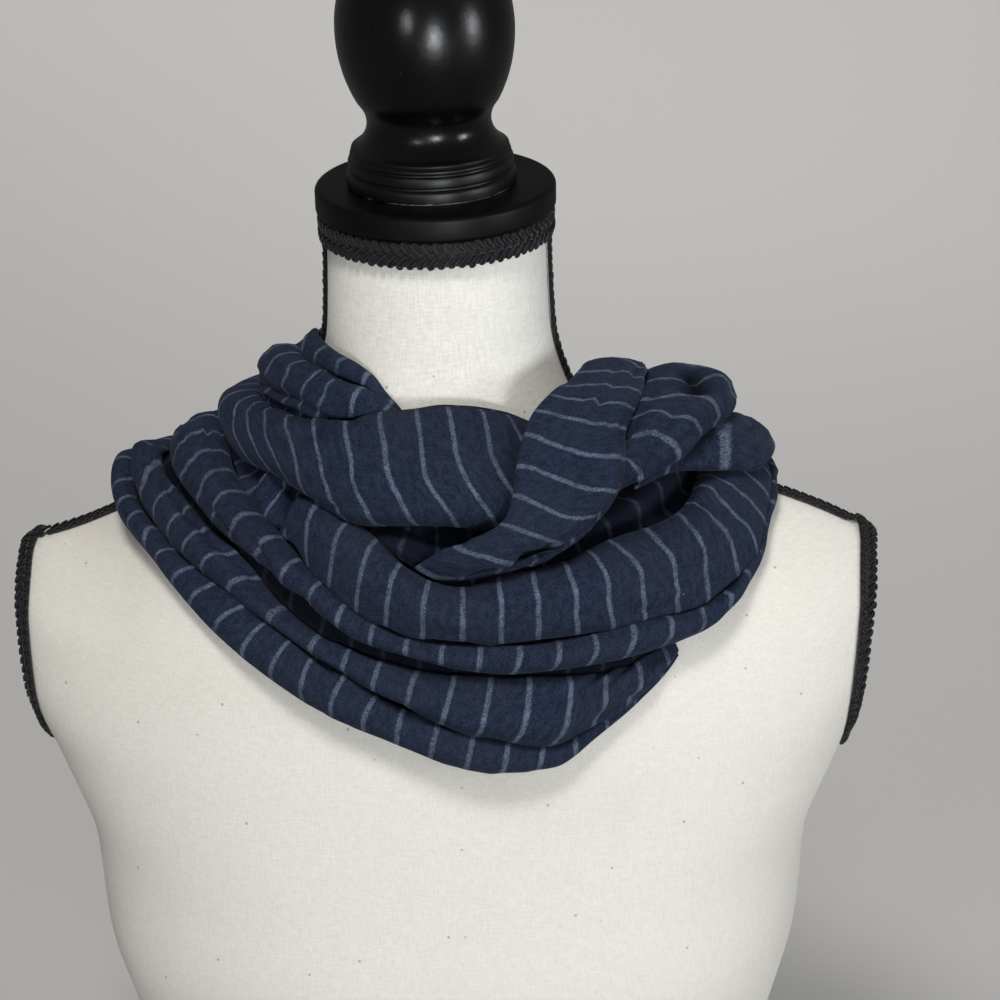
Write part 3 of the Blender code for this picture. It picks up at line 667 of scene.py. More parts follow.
def mesh_object(name, points_mm, faces, material, sharp=ANGLE_SHARP):
    """An object from points in millimetres, shaded smooth but for its sharp edges."""
    mesh = bpy.data.meshes.new(name)
    mesh.from_pydata([tuple(point) for point in np.asarray(points_mm) * MM], [], faces)
    mesh.validate()
    mesh.shade_smooth()
    mesh.set_sharp_from_angle(angle=sharp)
    mesh.materials.append(material)
    made = bpy.data.objects.new(name, mesh)
    bpy.context.scene.collection.objects.link(made)
    return made


def baked(made):
    """The object with its modifiers applied to a plain mesh."""
    graph = bpy.context.evaluated_depsgraph_get()
    mesh = bpy.data.meshes.new_from_object(made.evaluated_get(graph))
    made.modifiers.clear()
    old = made.data
    made.data = mesh
    mesh.name = made.name
    bpy.data.meshes.remove(old)
    return made


def hand_over(piece, slot, *nodes):
    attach(piece, "root")
    if nodes:
        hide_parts(*nodes)
    triangles = sum(len(face.vertices) - 2 for face in piece.data.polygons)
    print(piece.name, triangles, "triangles, for", nodes or "itself")
    return piece


def stack_faces(rings, sides):
    """Quads between neighbouring closed rings of a stack."""
    faces = []
    for row in range(rings - 1):
        for i in range(sides):
            k = (i + 1) % sides
            low = row * sides
            faces.append((low + i, low + k, low + sides + k, low + sides + i))
    return faces


def end_fans(count, sides):
    """Triangles from a stack's first and last rings to the two points that follow its own."""
    faces = []
    last = count - sides
    for i in range(sides):
        k = (i + 1) % sides
        faces.append((count, k, i))
        faces.append((count + 1, last + i, last + k))
    return faces


print("helpers ready")

# %% [markdown]
# ## The linen torso
# The torso is one smooth shell. At the arms the real form ends in a flat plate, so points that
# would lie outside the plate's plane are drawn back onto it. A fine mesh keeps the rim crisp.

# %% Torso
ARM_PLATE_TOP = 440.0
ARM_PLATE_X = 199.0
ARM_PLATE_SLOPE = 0.09
ARM_PLATE_CENTRE = 390.0
TORSO_SIDES = 216
TORSO_RINGS = 190


def arm_plate_x(height):
    return ARM_PLATE_X - ARM_PLATE_SLOPE * (ARM_PLATE_TOP - height)


def make_torso():
    heights = np.linspace(0, NECK_TOP, TORSO_RINGS)
    turns = np.linspace(0, 2 * math.pi, TORSO_SIDES, endpoint=False)
    points = np.zeros((TORSO_RINGS, TORSO_SIDES, 3))
    points[:, :, 2] = heights[:, None]
    for k, turn in enumerate(turns):
        radius = form_radius(turn, heights)
        limit = arm_plate_x(heights)
        points[:, k, 0] = np.clip(radius * math.sin(turn), -limit, limit)
        points[:, k, 1] = -radius * math.cos(turn)
    count = TORSO_RINGS * TORSO_SIDES
    ends = [points[0].mean(axis=0), points[-1].mean(axis=0)]
    flat = settled(np.concatenate([points.reshape(-1, 3), ends]))
    faces = stack_faces(TORSO_RINGS, TORSO_SIDES) + end_fans(count, TORSO_SIDES)
    return mesh_object("linen_torso", flat, faces, LINEN)


torso = make_torso()
hand_over(torso, "linen_cover", "form_body")

# %% [markdown]
# ## The turned disc and knob
# Both are turned on a lathe, so each is a profile spun round the axis. The knob's foot carries
# fine steps and beads, which are rows of the profile, and a chipped line of old glue shows where
# it meets the disc.

# %% Turning
CAP_RADIUS = 53.0
CAP_THICKNESS = 11.0
CAP_BASE = NECK_TOP + CLEARANCE
KNOB_BASE = NECK_TOP + CAP_THICKNESS + 2 * CLEARANCE
TURNED_SIDES = 128
TURNED_SHARP = math.radians(38)
CAP_LOWER_ROUND = 1.4
CAP_UPPER_ROUND = 2.4


def round_corner(radius, height, size, start, end, steps=5):
    """Rows of a rounded corner: a small arc about a centre at (radius, height)."""
    turns = np.linspace(math.radians(start), math.radians(end), steps)
    return [(radius + size * math.cos(turn), height + size * math.sin(turn)) for turn in turns]


def turned_piece(name, profile, base, material, shift=0.0, lean=0.0):
    turns = np.linspace(0, 2 * math.pi, TURNED_SIDES, endpoint=False)
    points = []
    for radius, height in profile:
        for turn in turns:
            x = radius * math.cos(turn) + shift - lean * height
            points.append((x, radius * math.sin(turn), base + height))
    count = len(points)
    points.append((shift, 0.0, base + profile[0][1]))
    top = profile[-1][1]
    points.append((shift - lean * top, 0.0, base + top))
    faces = stack_faces(len(profile), TURNED_SIDES) + end_fans(count, TURNED_SIDES)
    return mesh_object(name, settled(points), faces, material, sharp=TURNED_SHARP)


CAP_PROFILE = (
    [(46.0, 0.0)]
    + round_corner(CAP_RADIUS - CAP_LOWER_ROUND, CAP_LOWER_ROUND, CAP_LOWER_ROUND, -88, 0)
    + round_corner(
        CAP_RADIUS - CAP_UPPER_ROUND, CAP_THICKNESS - CAP_UPPER_ROUND, CAP_UPPER_ROUND, 4, 88, 7
    )
    + [(47.0, CAP_THICKNESS), (30.0, CAP_THICKNESS)]
)
cap = turned_piece("neck_disc", CAP_PROFILE, CAP_BASE, SATIN_BLACK)
hand_over(cap, "cap_disc", "neck_cap")

# %% [markdown]
# The foot's steps and beads are rows of radius and height. The ball above is half an ellipse
# below its middle and another above it, so a formula gives it with a few numbers. The knob
# leans a little and sits off the axis, as a screwed-on one does.

# %% The knob's profile
KNOB_SHIFT = -1.5
KNOB_LEAN = 0.018
BALL_RADIUS = 38.7
BALL_CENTRE = 68.0
BALL_START = 37.0
BALL_UPPER = 48.0
BALL_LOWER = 52.0
BALL_END = math.radians(86)
BALL_ROWS = 34
Turning = namedtuple("Turning", "radius height")
KNOB_FOOT = [
    Turning(36.7, 0.0),
    Turning(37.2, 0.5),
    Turning(37.3, 2.6),
    Turning(37.2, 4.7),
    Turning(36.9, 5.5),
    Turning(36.3, 5.9),
    Turning(35.9, 6.1),
    Turning(35.75, 6.6),
    Turning(35.9, 7.2),
    Turning(36.25, 7.5),
    Turning(36.3, 8.1),
    Turning(36.25, 10.6),
    Turning(36.0, 11.3),
    Turning(35.4, 11.6),
    Turning(35.0, 11.9),
    Turning(34.9, 12.4),
    Turning(35.2, 12.9),
    Turning(35.35, 13.5),
    Turning(35.2, 14.1),
    Turning(34.7, 14.4),
    Turning(34.4, 14.8),
    Turning(34.5, 15.3),
    Turning(34.65, 15.8),
    Turning(34.5, 16.4),
    Turning(34.0, 16.8),
    Turning(33.2, 17.1),
    Turning(31.9, 18.2),
    Turning(30.2, 19.9),
    Turning(28.9, 21.6),
    Turning(27.9, 23.6),
    Turning(27.3, 25.6),
    Turning(27.1, 27.6),
    Turning(27.3, 29.8),
    Turning(27.9, 31.9),
    Turning(29.0, 34.2),
]


def knob_profile():
    start = math.asin(-(BALL_CENTRE - BALL_START) / BALL_LOWER)
    rows = [tuple(row) for row in KNOB_FOOT]
    for turn in np.linspace(start, BALL_END, BALL_ROWS):
        reach = BALL_LOWER if turn < 0 else BALL_UPPER
        rows.append((BALL_RADIUS * math.cos(turn), BALL_CENTRE + reach * math.sin(turn)))
    return rows


knob = turned_piece("turned_knob", knob_profile(), KNOB_BASE, GLOSS_BLACK, KNOB_SHIFT, KNOB_LEAN)
hand_over(knob, "finial_lacquer", "finial")

# %% [markdown]
# ## Gimp braid
# Gimp is a flat trim of one thick cord that loops out to each edge and runs back to the middle,
# where the two sides interlace like a plait. One pair of loops repeats along the trim, so a
# Geometry Nodes tree sets that pair on every point of a path. The cord has few faces, because
# it is repeated hundreds of times.

# %% One pair of loops
CORD_RADIUS = 0.66
LOOP_REACH = 5.6
LOOP_PITCH = 4.4
CORD_SIDES = 5
LOOP_DROP = 0.12
LoopPoint = namedtuple("LoopPoint", "across along out")
LOOP = [
    LoopPoint(-0.5, 4.5, 0.5),
    LoopPoint(0.8, 3.3, 1.35),
    LoopPoint(2.2, 1.6, 1.75),
    LoopPoint(3.5, 0.3, 1.7),
    LoopPoint(4.7, -0.1, 1.45),
    LoopPoint(5.45, 0.35, 1.15),
    LoopPoint(5.6, 1.15, 1.0),
    LoopPoint(5.2, 1.9, 1.1),
    LoopPoint(4.1, 2.2, 1.35),
    LoopPoint(2.9, 3.0, 1.25),
    LoopPoint(1.5, 4.6, 0.7),
]


def cord_mesh(path, radius, sides=CORD_SIDES):
    """Points and faces of a closed cord along a path, in the path's own unit."""
    path = np.array(path, float)
    tangent = np.gradient(path, axis=0)
    tangent /= np.linalg.norm(tangent, axis=1)[:, None]
    helper = np.array([0.0, 0.0, 1.0])
    points = []
    for place, along in zip(path, tangent):
        side = np.cross(along, helper)
        side = unit(side) if np.linalg.norm(side) > 1e-6 else np.array([1.0, 0.0, 0.0])
        up = np.cross(side, along)
        for turn in np.linspace(0, 2 * math.pi, sides, endpoint=False):
            points.append(place + radius * (side * math.cos(turn) + up * math.sin(turn)))
    faces = stack_faces(len(path), sides)
    faces.append(tuple(range(sides))[::-1])
    last = (len(path) - 1) * sides
    faces.append(tuple(range(last, last + sides)))
    return points, faces


def make_loop_pair():
    points, faces = cord_mesh(LOOP, CORD_RADIUS)
    count = len(points)
    mirrored = [np.array([-x, y + LOOP_PITCH / 2, z - LOOP_DROP]) for x, y, z in points]
    flipped = [tuple(index + count for index in face[::-1]) for face in faces]
    pair = mesh_object("loop_pair", points + mirrored, faces + flipped, BRAID, sharp=math.pi)
    pair.data.shade_smooth()
    return pair


loop_pair = make_loop_pair()
print("one pair:", len(loop_pair.data.polygons), "faces")

# %% [markdown]
# The tree resamples the path to the wanted number of pairs, stands a pair on each point, and
# turns it by two directions: along the path, and out from the surface, which each path carries
# as an attribute. The number, the scale and a little seeded unevenness are its inputs.

# %% The braid tree
def braid_tree():
    tree = bpy.data.node_groups.new("gimp_braid", "GeometryNodeTree")
    sockets = [
        ("Path", "INPUT", "Geometry"),
        ("Pair", "INPUT", "Object"),
        ("Pairs", "INPUT", "Int"),
        ("Width", "INPUT", "Float"),
        ("Stretch", "INPUT", "Float"),
        ("Unevenness", "INPUT", "Float"),
        ("Finish", "INPUT", "Material"),
        ("Braid", "OUTPUT", "Geometry"),
    ]
    for label, way, kind in sockets:
        tree.interface.new_socket(label, in_out=way, socket_type="NodeSocket" + kind)
    make = Recipe(tree)
    start = make.node("NodeGroupInput").outputs
    curve = make.node("GeometryNodeMeshToCurve")
    make.feed(curve.inputs["Mesh"], start["Path"])
    even = make.node("GeometryNodeResampleCurve")
    make.feed(even.inputs["Curve"], curve.outputs[0])
    make.feed(even.inputs["Count"], start["Pairs"])
    out = make.node("GeometryNodeInputNamedAttribute", data_type="FLOAT_VECTOR")
    out.inputs["Name"].default_value = "out"
    tangent = make.node("GeometryNodeInputTangent")
    turn = make.node("FunctionNodeAxesToRotation", primary_axis="Z", secondary_axis="Y")
    make.feed(turn.inputs["Primary Axis"], out.outputs["Attribute"])
    make.feed(turn.inputs["Secondary Axis"], tangent.outputs[0])
    wobble = make.node("FunctionNodeRandomValue", data_type="FLOAT")
    make.feed(wobble.inputs[2], make.math("SUBTRACT", 1.0, start["Unevenness"]))
    make.feed(wobble.inputs[3], make.math("ADD", 1.0, start["Unevenness"]))
    wobble.inputs["Seed"].default_value = 7
    scale = make.node("ShaderNodeCombineXYZ")
    make.feed(scale.inputs[0], make.math("MULTIPLY", start["Width"], wobble.outputs[1]))
    make.feed(scale.inputs[1], start["Stretch"])
    make.feed(scale.inputs[2], wobble.outputs[1])
    pair = make.node("GeometryNodeObjectInfo")
    make.feed(pair.inputs["Object"], start["Pair"])
    place = make.node("GeometryNodeInstanceOnPoints")
    make.feed(place.inputs["Points"], even.outputs[0])
    make.feed(place.inputs["Instance"], pair.outputs["Geometry"])
    make.feed(place.inputs["Rotation"], turn.outputs[0])
    make.feed(place.inputs["Scale"], scale.outputs[0])
    real = make.node("GeometryNodeRealizeInstances")
    make.feed(real.inputs[0], place.outputs[0])
    finish = make.node("GeometryNodeSetMaterial")
    make.feed(finish.inputs["Geometry"], real.outputs[0])
    make.feed(finish.inputs["Material"], start["Finish"])
    make.feed(make.node("NodeGroupOutput").inputs[0], finish.outputs[0])
    return tree


GIMP_TREE = braid_tree()
print("braid tree:", len(GIMP_TREE.nodes), "nodes")

# %% [markdown]
# Under the loops lies the woven core of the trim, a thin dark band that closes the gaps. It is
# made from the same path and joined with the loops, so that each braid is one piece.

# %% Building a braid
CORE_SECTION = [(-0.5, 0.0), (-0.44, 1.0), (0.44, 1.0), (0.5, 0.0)]
CORE_GAP = 0.12
CORE_THICKNESS = 0.75
CORE_SHARE = 0.92
LOOP_UNEVENNESS = 0.05


def core_band(centres, outs, width, thickness, closed):
    """Points and faces of the flat core under the loops."""
    centres = np.array(centres)
    outs = np.array(outs)
    if closed:
        along = np.roll(centres, -1, axis=0) - np.roll(centres, 1, axis=0)
    else:
        along = np.gradient(centres, axis=0)
    sides = np.cross(along, outs)
    sides /= np.linalg.norm(sides, axis=1)[:, None]
    points = []
    for centre, side, out in zip(centres, sides, outs):
        for x, z in CORE_SECTION:
            points.append(centre + side * width * x + out * (CORE_GAP + thickness * z))
    faces = []
    count = len(centres)
    for i in range(count if closed else count - 1):
        here = 4 * i
        there = 4 * ((i + 1) % count)
        for k in range(4):
            m = (k + 1) % 4
            faces.append((here + k, there + k, there + m, here + m))
    if not closed:
        faces.append((0, 1, 2, 3))
        faces.append(tuple(range(4 * count - 1, 4 * count - 5, -1)))
    return points, faces


def closed_shell(name, points, faces, material):
    """An object from a closed shell's points and faces, with its faces turned outwards."""
    shell = bmesh.new()
    corners = [shell.verts.new(tuple(np.asarray(point) * MM)) for point in points]
    for face in faces:
        shell.faces.new([corners[index] for index in face])
    bmesh.ops.recalc_face_normals(shell, faces=shell.faces)
    mesh = bpy.data.meshes.new(name)
    shell.to_mesh(mesh)
    shell.free()
    mesh.shade_smooth()
    mesh.set_sharp_from_angle(angle=ANGLE_SHARP)
    mesh.materials.append(material)
    made = bpy.data.objects.new(name, mesh)
    bpy.context.scene.collection.objects.link(made)
    return made


def absorb(target, other):
    """Adds another object's mesh to the target and removes that object."""
    shell = bmesh.new()
    shell.from_mesh(target.data)
    shell.from_mesh(other.data)
    shell.to_mesh(target.data)
    shell.free()
    bpy.data.objects.remove(other)


def make_braid(name, centres, outs, width, closed=False, pitch=LOOP_PITCH, backing=0.0):
    """A braid along a path above the form, with a core that reaches back to it; in millimetres."""
    centres = settled(centres)
    steps = np.diff(np.concatenate([centres, centres[:1]]) if closed else centres, axis=0)
    length = np.linalg.norm(steps, axis=1).sum()
    mesh = bpy.data.meshes.new(name)
    count = len(centres)
    edges = [(i, (i + 1) % count) for i in range(count if closed else count - 1)]
    mesh.from_pydata([tuple(point) for point in centres * MM], edges, [])
    direction = mesh.attributes.new("out", "FLOAT_VECTOR", "POINT")
    direction.data.foreach_set("vector", np.array(outs, np.float32).ravel())
    braid = bpy.data.objects.new(name, mesh)
    bpy.context.scene.collection.objects.link(braid)
    loops = braid.modifiers.new("loops", "NODES")
    loops.node_group = GIMP_TREE
    pairs = int(round(length / pitch))
    values = {
        "Pair": loop_pair,
        "Pairs": pairs + (0 if closed else 1),
        "Width": width / (2 * (LOOP_REACH + CORD_RADIUS)),
        "Stretch": length / pairs / LOOP_PITCH,
        "Unevenness": LOOP_UNEVENNESS,
        "Finish": BRAID,
    }
    for socket in GIMP_TREE.interface.items_tree:
        if socket.name in values:
            loops[socket.identifier] = values[socket.name]
    baked(braid)
    base = centres - np.asarray(outs) * backing
    points, faces = core_band(base, outs, width * CORE_SHARE, CORE_THICKNESS + backing, closed)
    core = closed_shell(name + "_core", points, faces, BRAID)
    absorb(braid, core)
    braid.data.shade_smooth()
    return braid, pairs


print("braid maker ready")

# %% [markdown]
# The first braid runs round the neck just under the disc. Its path is a circle that stands clear
# of the linen, and the woven core reaches back to it.

# %% The braid under the disc
NECK_BRAID_HEIGHT = 12.5
NECK_BRAID_LIFT = 2.0
NECK_BRAID_RISE = 0.15


def make_neck_braid():
    turns = np.linspace(0, 2 * math.pi, 120, endpoint=False)
    outs = np.array([(math.sin(turn), -math.cos(turn), 0.0) for turn in turns])
    middle = NECK_TOP + NECK_BRAID_RISE - NECK_BRAID_HEIGHT / 2
    radius = form_radius(0.0, middle)
    centres = outs * (radius + NECK_BRAID_LIFT) + np.array([0.0, 0.0, middle])
    return make_braid(
        "neck_braid_loops", centres, outs, NECK_BRAID_HEIGHT, closed=True, backing=NECK_BRAID_LIFT
    )


neck_braid, pairs = make_neck_braid()
hand_over(neck_braid, "braid_trim", "neck_braid")
print(pairs, "pairs of loops round the neck")

# %% [markdown]
# The armhole braid runs round the rim of each arm plate. A point of the rim is found between
# the plate's centre and a place outside the torso, by halving the gap between them.

# %% Braids round the armholes
ARM_BRAID_WIDTH = 11.0
ARM_BRAID_INSET = 4.5
ARM_BRAID_LIFT = 0.5
RIM_SEARCH = 120.0
RIM_HALVINGS = 40


def form_point(angle, height):
    radius = form_radius(angle, height)
    return np.array([radius * math.sin(angle), -radius * math.cos(angle), height])


def surface_out(point):
    """Outward direction of the torso's surface near a point."""
    angle = math.atan2(point[0], -point[1])
    step = 2.0
    around = form_point(angle + 0.03, point[2]) - form_point(angle - 0.03, point[2])
    up = form_point(angle, point[2] + step) - form_point(angle, point[2] - step)
    return unit(np.cross(around, up))


def arm_rim(turn):
    """Point round the right arm plate, inside its rim, at a turn round the plate's centre."""
    near = 0.0
    far = RIM_SEARCH
    for _ in range(RIM_HALVINGS):
        reach = (near + far) / 2
        height = ARM_PLATE_CENTRE + reach * math.cos(turn)
        y = -reach * math.sin(turn)
        x = arm_plate_x(height) - ARM_BRAID_INSET
        inside = math.hypot(x, y) < form_radius(math.atan2(x, -y), height)
        near, far = (reach, far) if inside else (near, reach)
    return np.array([x, y, height])


def make_arm_braid(name, side):
    turns = np.linspace(0, 2 * math.pi, 150, endpoint=False)
    rim = np.array([arm_rim(turn) for turn in turns])
    along = np.roll(rim, -1, axis=0) - np.roll(rim, 1, axis=0)
    outs = []
    for point, way in zip(rim, along):
        way = unit(way)
        out = surface_out(point)
        outs.append(unit(out - way * np.dot(out, way)))
    flip = np.array([side, 1.0, 1.0])
    outs = np.array(outs)
    centres = (rim + outs * ARM_BRAID_LIFT) * flip
    outs = outs * flip
    if side < 0:
        centres = centres[::-1]
        outs = outs[::-1]
    return make_braid(name, centres, outs, ARM_BRAID_WIDTH, closed=True)


for side, word in ((-1, "left"), (1, "right")):
    braid, pairs = make_arm_braid("armhole_braid_loops_" + word, side)
    hand_over(braid, "braid_trim", "armhole_braid_" + word)
    print(pairs, "pairs of loops round the", word, "armhole")

# %% [markdown]
# A narrower braid runs from the neck down each shoulder. It follows one line of the chart, and
# the surface's own direction there, not the averaged one, keeps it flat on the linen.

# %% Braids along the shoulders
SHOULDER_BRAID_WIDTH = 8.0
SHOULDER_BRAID_START = -38.9
SHOULDER_BRAID_END = 178.0
SHOULDER_BRAID_LIFT = 0.3
SHOULDER_BRAID_PITCH = 4.2


def true_surface(angle, distance):
    """Point and unaveraged outward direction on the chart."""
    step = 3.0
    point, _ = on_form(angle, distance, 0.0)
    above, _ = on_form(angle, distance - step, 0.0)
    below, _ = on_form(angle, distance + step, 0.0)
    around = np.array([math.cos(math.radians(angle)), math.sin(math.radians(angle)), 0.0])
    return point, unit(np.cross(unit(below - above), around))


def make_shoulder_braid(name, side):
    stations = np.linspace(SHOULDER_BRAID_START, SHOULDER_BRAID_END, 110)
    spots = [true_surface(90.0 * side, distance) for distance in stations]
    outs = np.array([spot[1] for spot in spots])
    centres = np.array([spot[0] for spot in spots]) + outs * SHOULDER_BRAID_LIFT
    return make_braid(name, centres, outs, SHOULDER_BRAID_WIDTH, pitch=SHOULDER_BRAID_PITCH)


for side, word in ((-1, "left"), (1, "right")):
    braid, pairs = make_shoulder_braid("shoulder_braid_loops_" + word, side)
    hand_over(braid, "braid_trim", "shoulder_braid_" + word)
    print(pairs, "pairs of loops along the", word, "shoulder")
bpy.data.objects.remove(loop_pair)

# %% [markdown]
# ## How the scarf is described
# A worn scarf is a few soft rolls that lie side by side. Where two rolls meet there is a fold
# line. Each row of a table is one cross-section of a stretch: its fold lines as places on the
# chart ("_at" is a distance, "_lift" a lift), and how far each roll bulges between them.

# %% The chest wrap's two rolls
FULL_TURN = 360
InnerRow = namedtuple(
    "InnerRow", "angle low_at low_lift mid_at mid_lift top_at top_lift low_roll top_roll"
)
INNER_LEFT = InnerRow(-100, 114, 9, 78, 8, 67, 4, 5, 1.5)
INNER_RIGHT = InnerRow(100, 139, 7, 133, 8, 116, 5, 3, 4.2)
INNER_FRONT = [
    INNER_LEFT,
    InnerRow(-90, 108, 9, 78, 9, 66, 4, 9, 1.5),
    InnerRow(-80, 106, 10, 79, 8, 66, 3.5, 11, 1.5),
    InnerRow(-65, 102.5, 10.5, 82, 7.5, 66, 3, 11, 2),
    InnerRow(-50, 102, 10.5, 87, 8, 66, 3, 9.5, 2),
    InnerRow(-43, 104, 10.8, 89.5, 8.5, 67, 3.5, 9, 2.5),
    InnerRow(-37, 106.5, 11, 92.5, 11, 70, 7, 8, 9),
    InnerRow(-28, 111.5, 12, 100, 14, 73, 10, 6.5, 10),
    InnerRow(-16, 122, 12, 111, 14, 79, 12, 5, 11),
    InnerRow(-5, 127, 12, 118, 14, 92, 14, 5, 10),
    InnerRow(8, 133, 12, 122, 14, 100, 14, 5, 10),
    InnerRow(20, 137, 12, 125, 14, 97, 14, 6, 11),
    InnerRow(32, 140, 12, 128, 14, 98, 13, 6, 12),
    InnerRow(44, 145, 12, 133, 14, 99, 12, 7, 12),
    InnerRow(56, 150, 11, 142, 13, 103, 12, 5, 12),
    InnerRow(67, 147, 9, 144, 10, 108, 9, 1.5, 10),
    InnerRow(78, 141, 7.5, 138.5, 8, 105, 9, 1, 9),
    InnerRow(90, 139, 7, 136, 7.5, 110, 7.5, 1.2, 6.5),
    INNER_RIGHT,
]
INNER_BACK = [
    INNER_RIGHT._replace(angle=INNER_RIGHT.angle - FULL_TURN),
    InnerRow(-254, 144, 7, 137, 7.5, 117, 4, 3, 3),
    InnerRow(-241, 148, 8, 137, 8, 115, 4, 4.5, 3),
    InnerRow(-229, 146, 9.5, 132, 8, 112, 3.5, 5.5, 3),
    InnerRow(-205, 129, 10, 113, 8, 91, 3.5, 5.5, 3),
    InnerRow(-180, 112, 10, 96, 8, 73, 3.5, 5.5, 3),
    InnerRow(-155, 107, 10, 91, 8, 68, 3.5, 5.5, 3),
    InnerRow(-130, 110, 10, 88, 8, 67, 3.5, 5.5, 3),
    InnerRow(-114, 113, 9.5, 81, 8, 66, 3.5, 5, 2),
    INNER_LEFT,
]

print("chest wrap:", len(INNER_FRONT) + len(INNER_BACK) - 2, "sections all round")

# %% [markdown]
# The two lowest rolls start behind the right shoulder, run round the back and the left, and
# close up to a point at the front. "tongue_at" is where their hidden upper edge ends.

# %% The two lowest rolls
OuterRow = namedtuple(
    "OuterRow", "angle low_at low_lift mid_at mid_lift top_at top_lift tongue_at low_roll top_roll"
)
OUTER_LEFT = OuterRow(-100, 139, 7, 131, 6.5, 117, 6.5, 107, 4, 5.5)
OUTER_FRONT = [
    OUTER_LEFT,
    OuterRow(-90, 138, 8, 129, 7.5, 116, 6.5, 104, 5, 8),
    OuterRow(-78, 138, 7, 127, 7.5, 112, 5.5, 100, 6.5, 10),
    OuterRow(-65, 134, 6, 124, 7.5, 108, 5.5, 97, 6.5, 10),
    OuterRow(-50, 137, 6, 122, 9, 108, 6.5, 96, 6.5, 8),
    OuterRow(-38, 145, 6, 126, 9, 116, 6.5, 101, 7, 7),
    OuterRow(-25, 155, 6, 134, 9, 126, 6.5, 107, 8, 5),
    OuterRow(-12, 164, 6, 145, 9, 132, 7, 113, 8, 7),
    OuterRow(2, 173, 6, 157, 9, 136, 7, 120, 8, 9),
    OuterRow(14, 179, 6, 166, 9, 139, 7, 125, 7, 10),
    OuterRow(25, 180, 6, 172, 8, 142, 6.5, 128, 4, 11),
    OuterRow(34, 172, 6, 167, 7, 147, 5.5, 132, 2, 9),
    OuterRow(42, 164, 5, 161, 5.5, 149, 4.5, 137, 1, 5.5),
    OuterRow(47, 158.5, 4.5, 157, 4.5, 148, 4, 139, 0.6, 3.5),
    OuterRow(50, 154, 4, 152.5, 4.2, 147, 4, 141, 0.4, 1.5),
]
OUTER_BACK = [
    OuterRow(-216, 147, 4.5, 145, 4.5, 142, 4.5, 132, 0.5, 0.8),
    OuterRow(-200, 148, 6, 140, 6.5, 132, 5, 118, 4, 4),
    OuterRow(-180, 137, 7, 127, 7.5, 117, 5, 104, 6, 5),
    OuterRow(-155, 132, 7, 121, 7.5, 111, 5, 99, 6.5, 5),
    OuterRow(-130, 136, 7, 124, 7.5, 114, 5, 102, 6.5, 5),
    OuterRow(-114, 140, 7, 126, 8, 116, 7, 105, 6, 5),
    OUTER_LEFT,
]

print("lowest wrap:", len(OUTER_FRONT) + len(OUTER_BACK) - 1, "sections")

# %% [markdown]
# The neck wrap has three rolls over the nape and the left shoulder. At the front the upper two
# thin out behind the big roll at the throat, so their bulges shrink to almost nothing.

# %% The neck wrap
NeckRow = namedtuple(
    "NeckRow",
    "angle low_at low_lift mid_at mid_lift high_at high_lift neck_at neck_lift"
    " low_roll mid_roll neck_roll",
)
NECK_LEFT = NeckRow(-110, 78, 15, 54, 13, 27, 10, 15, 5, 6, 8, 2)
NECK_FRONT = [
    NECK_LEFT,
    NeckRow(-96, 77, 16, 54, 14.5, 20, 9, 9, 5, 6.5, 9.5, 1.2),
    NeckRow(-82, 75, 17.5, 50, 16, 16, 9, 5, 5, 8.5, 10.5, 1.5),
    NeckRow(-62, 74, 18, 43, 16, 14, 9, 4, 5, 11, 8.5, 3),
    NeckRow(-45, 69, 16, 37, 16, 13, 9, 4, 5, 12, 8, 4),
    NeckRow(-30, 72, 16, 30, 15, 14, 8, 8, 4, 12, 6, 2),
    NeckRow(-18, 75, 16, 24, 12, 21, 6.5, 19, 3.5, 12, 1, 0.6),
    NeckRow(-7, 74, 16, 22, 9.5, 25, 6, 27, 3, 12, 0.5, 0.4),
    NeckRow(4, 74, 16, 20, 8.5, 24, 5.5, 27, 3, 12, 0.5, 0.4),
    NeckRow(14, 76, 15, 21, 8.5, 25, 5.5, 28, 3, 12, 0.5, 0.4),
    NeckRow(26, 77, 13, 25, 8, 29, 5, 32, 3, 10, 0.5, 0.4),
    NeckRow(38, 79, 8, 32, 6.5, 36, 4, 39, 2.5, 7, 0.5, 0.4),
    NeckRow(48, 75, 6, 42, 4.5, 45, 3.5, 48, 2.5, 4, 0.5, 0.3),
]
NECK_BACK = [
    NeckRow(-230, 124, 13.5, 105.5, 11, 86, 10, 66, 7, 5, 5, 5),
    NeckRow(-210, 107, 13.5, 86, 11, 63, 10, 41, 7, 6, 7, 6),
    NeckRow(-182, 80, 13.5, 57, 12, 33, 11, 12, 6, 6, 8, 7),
    NeckRow(-155, 73, 13.5, 49, 12, 26, 10, 9, 6, 6, 8, 6),
    NeckRow(-130, 74, 14, 50, 12, 27, 10, 15, 5, 6, 8, 4),
    NECK_LEFT,
]

print("neck wrap:", len(NECK_FRONT) + len(NECK_BACK) - 1, "sections")

# %% [markdown]
# The crossing comes over the right shoulder as two rolls and runs down to a tucked point. Its
# fold lines turn as they go, so each has an angle of its own. The shoulder roll lies under it.

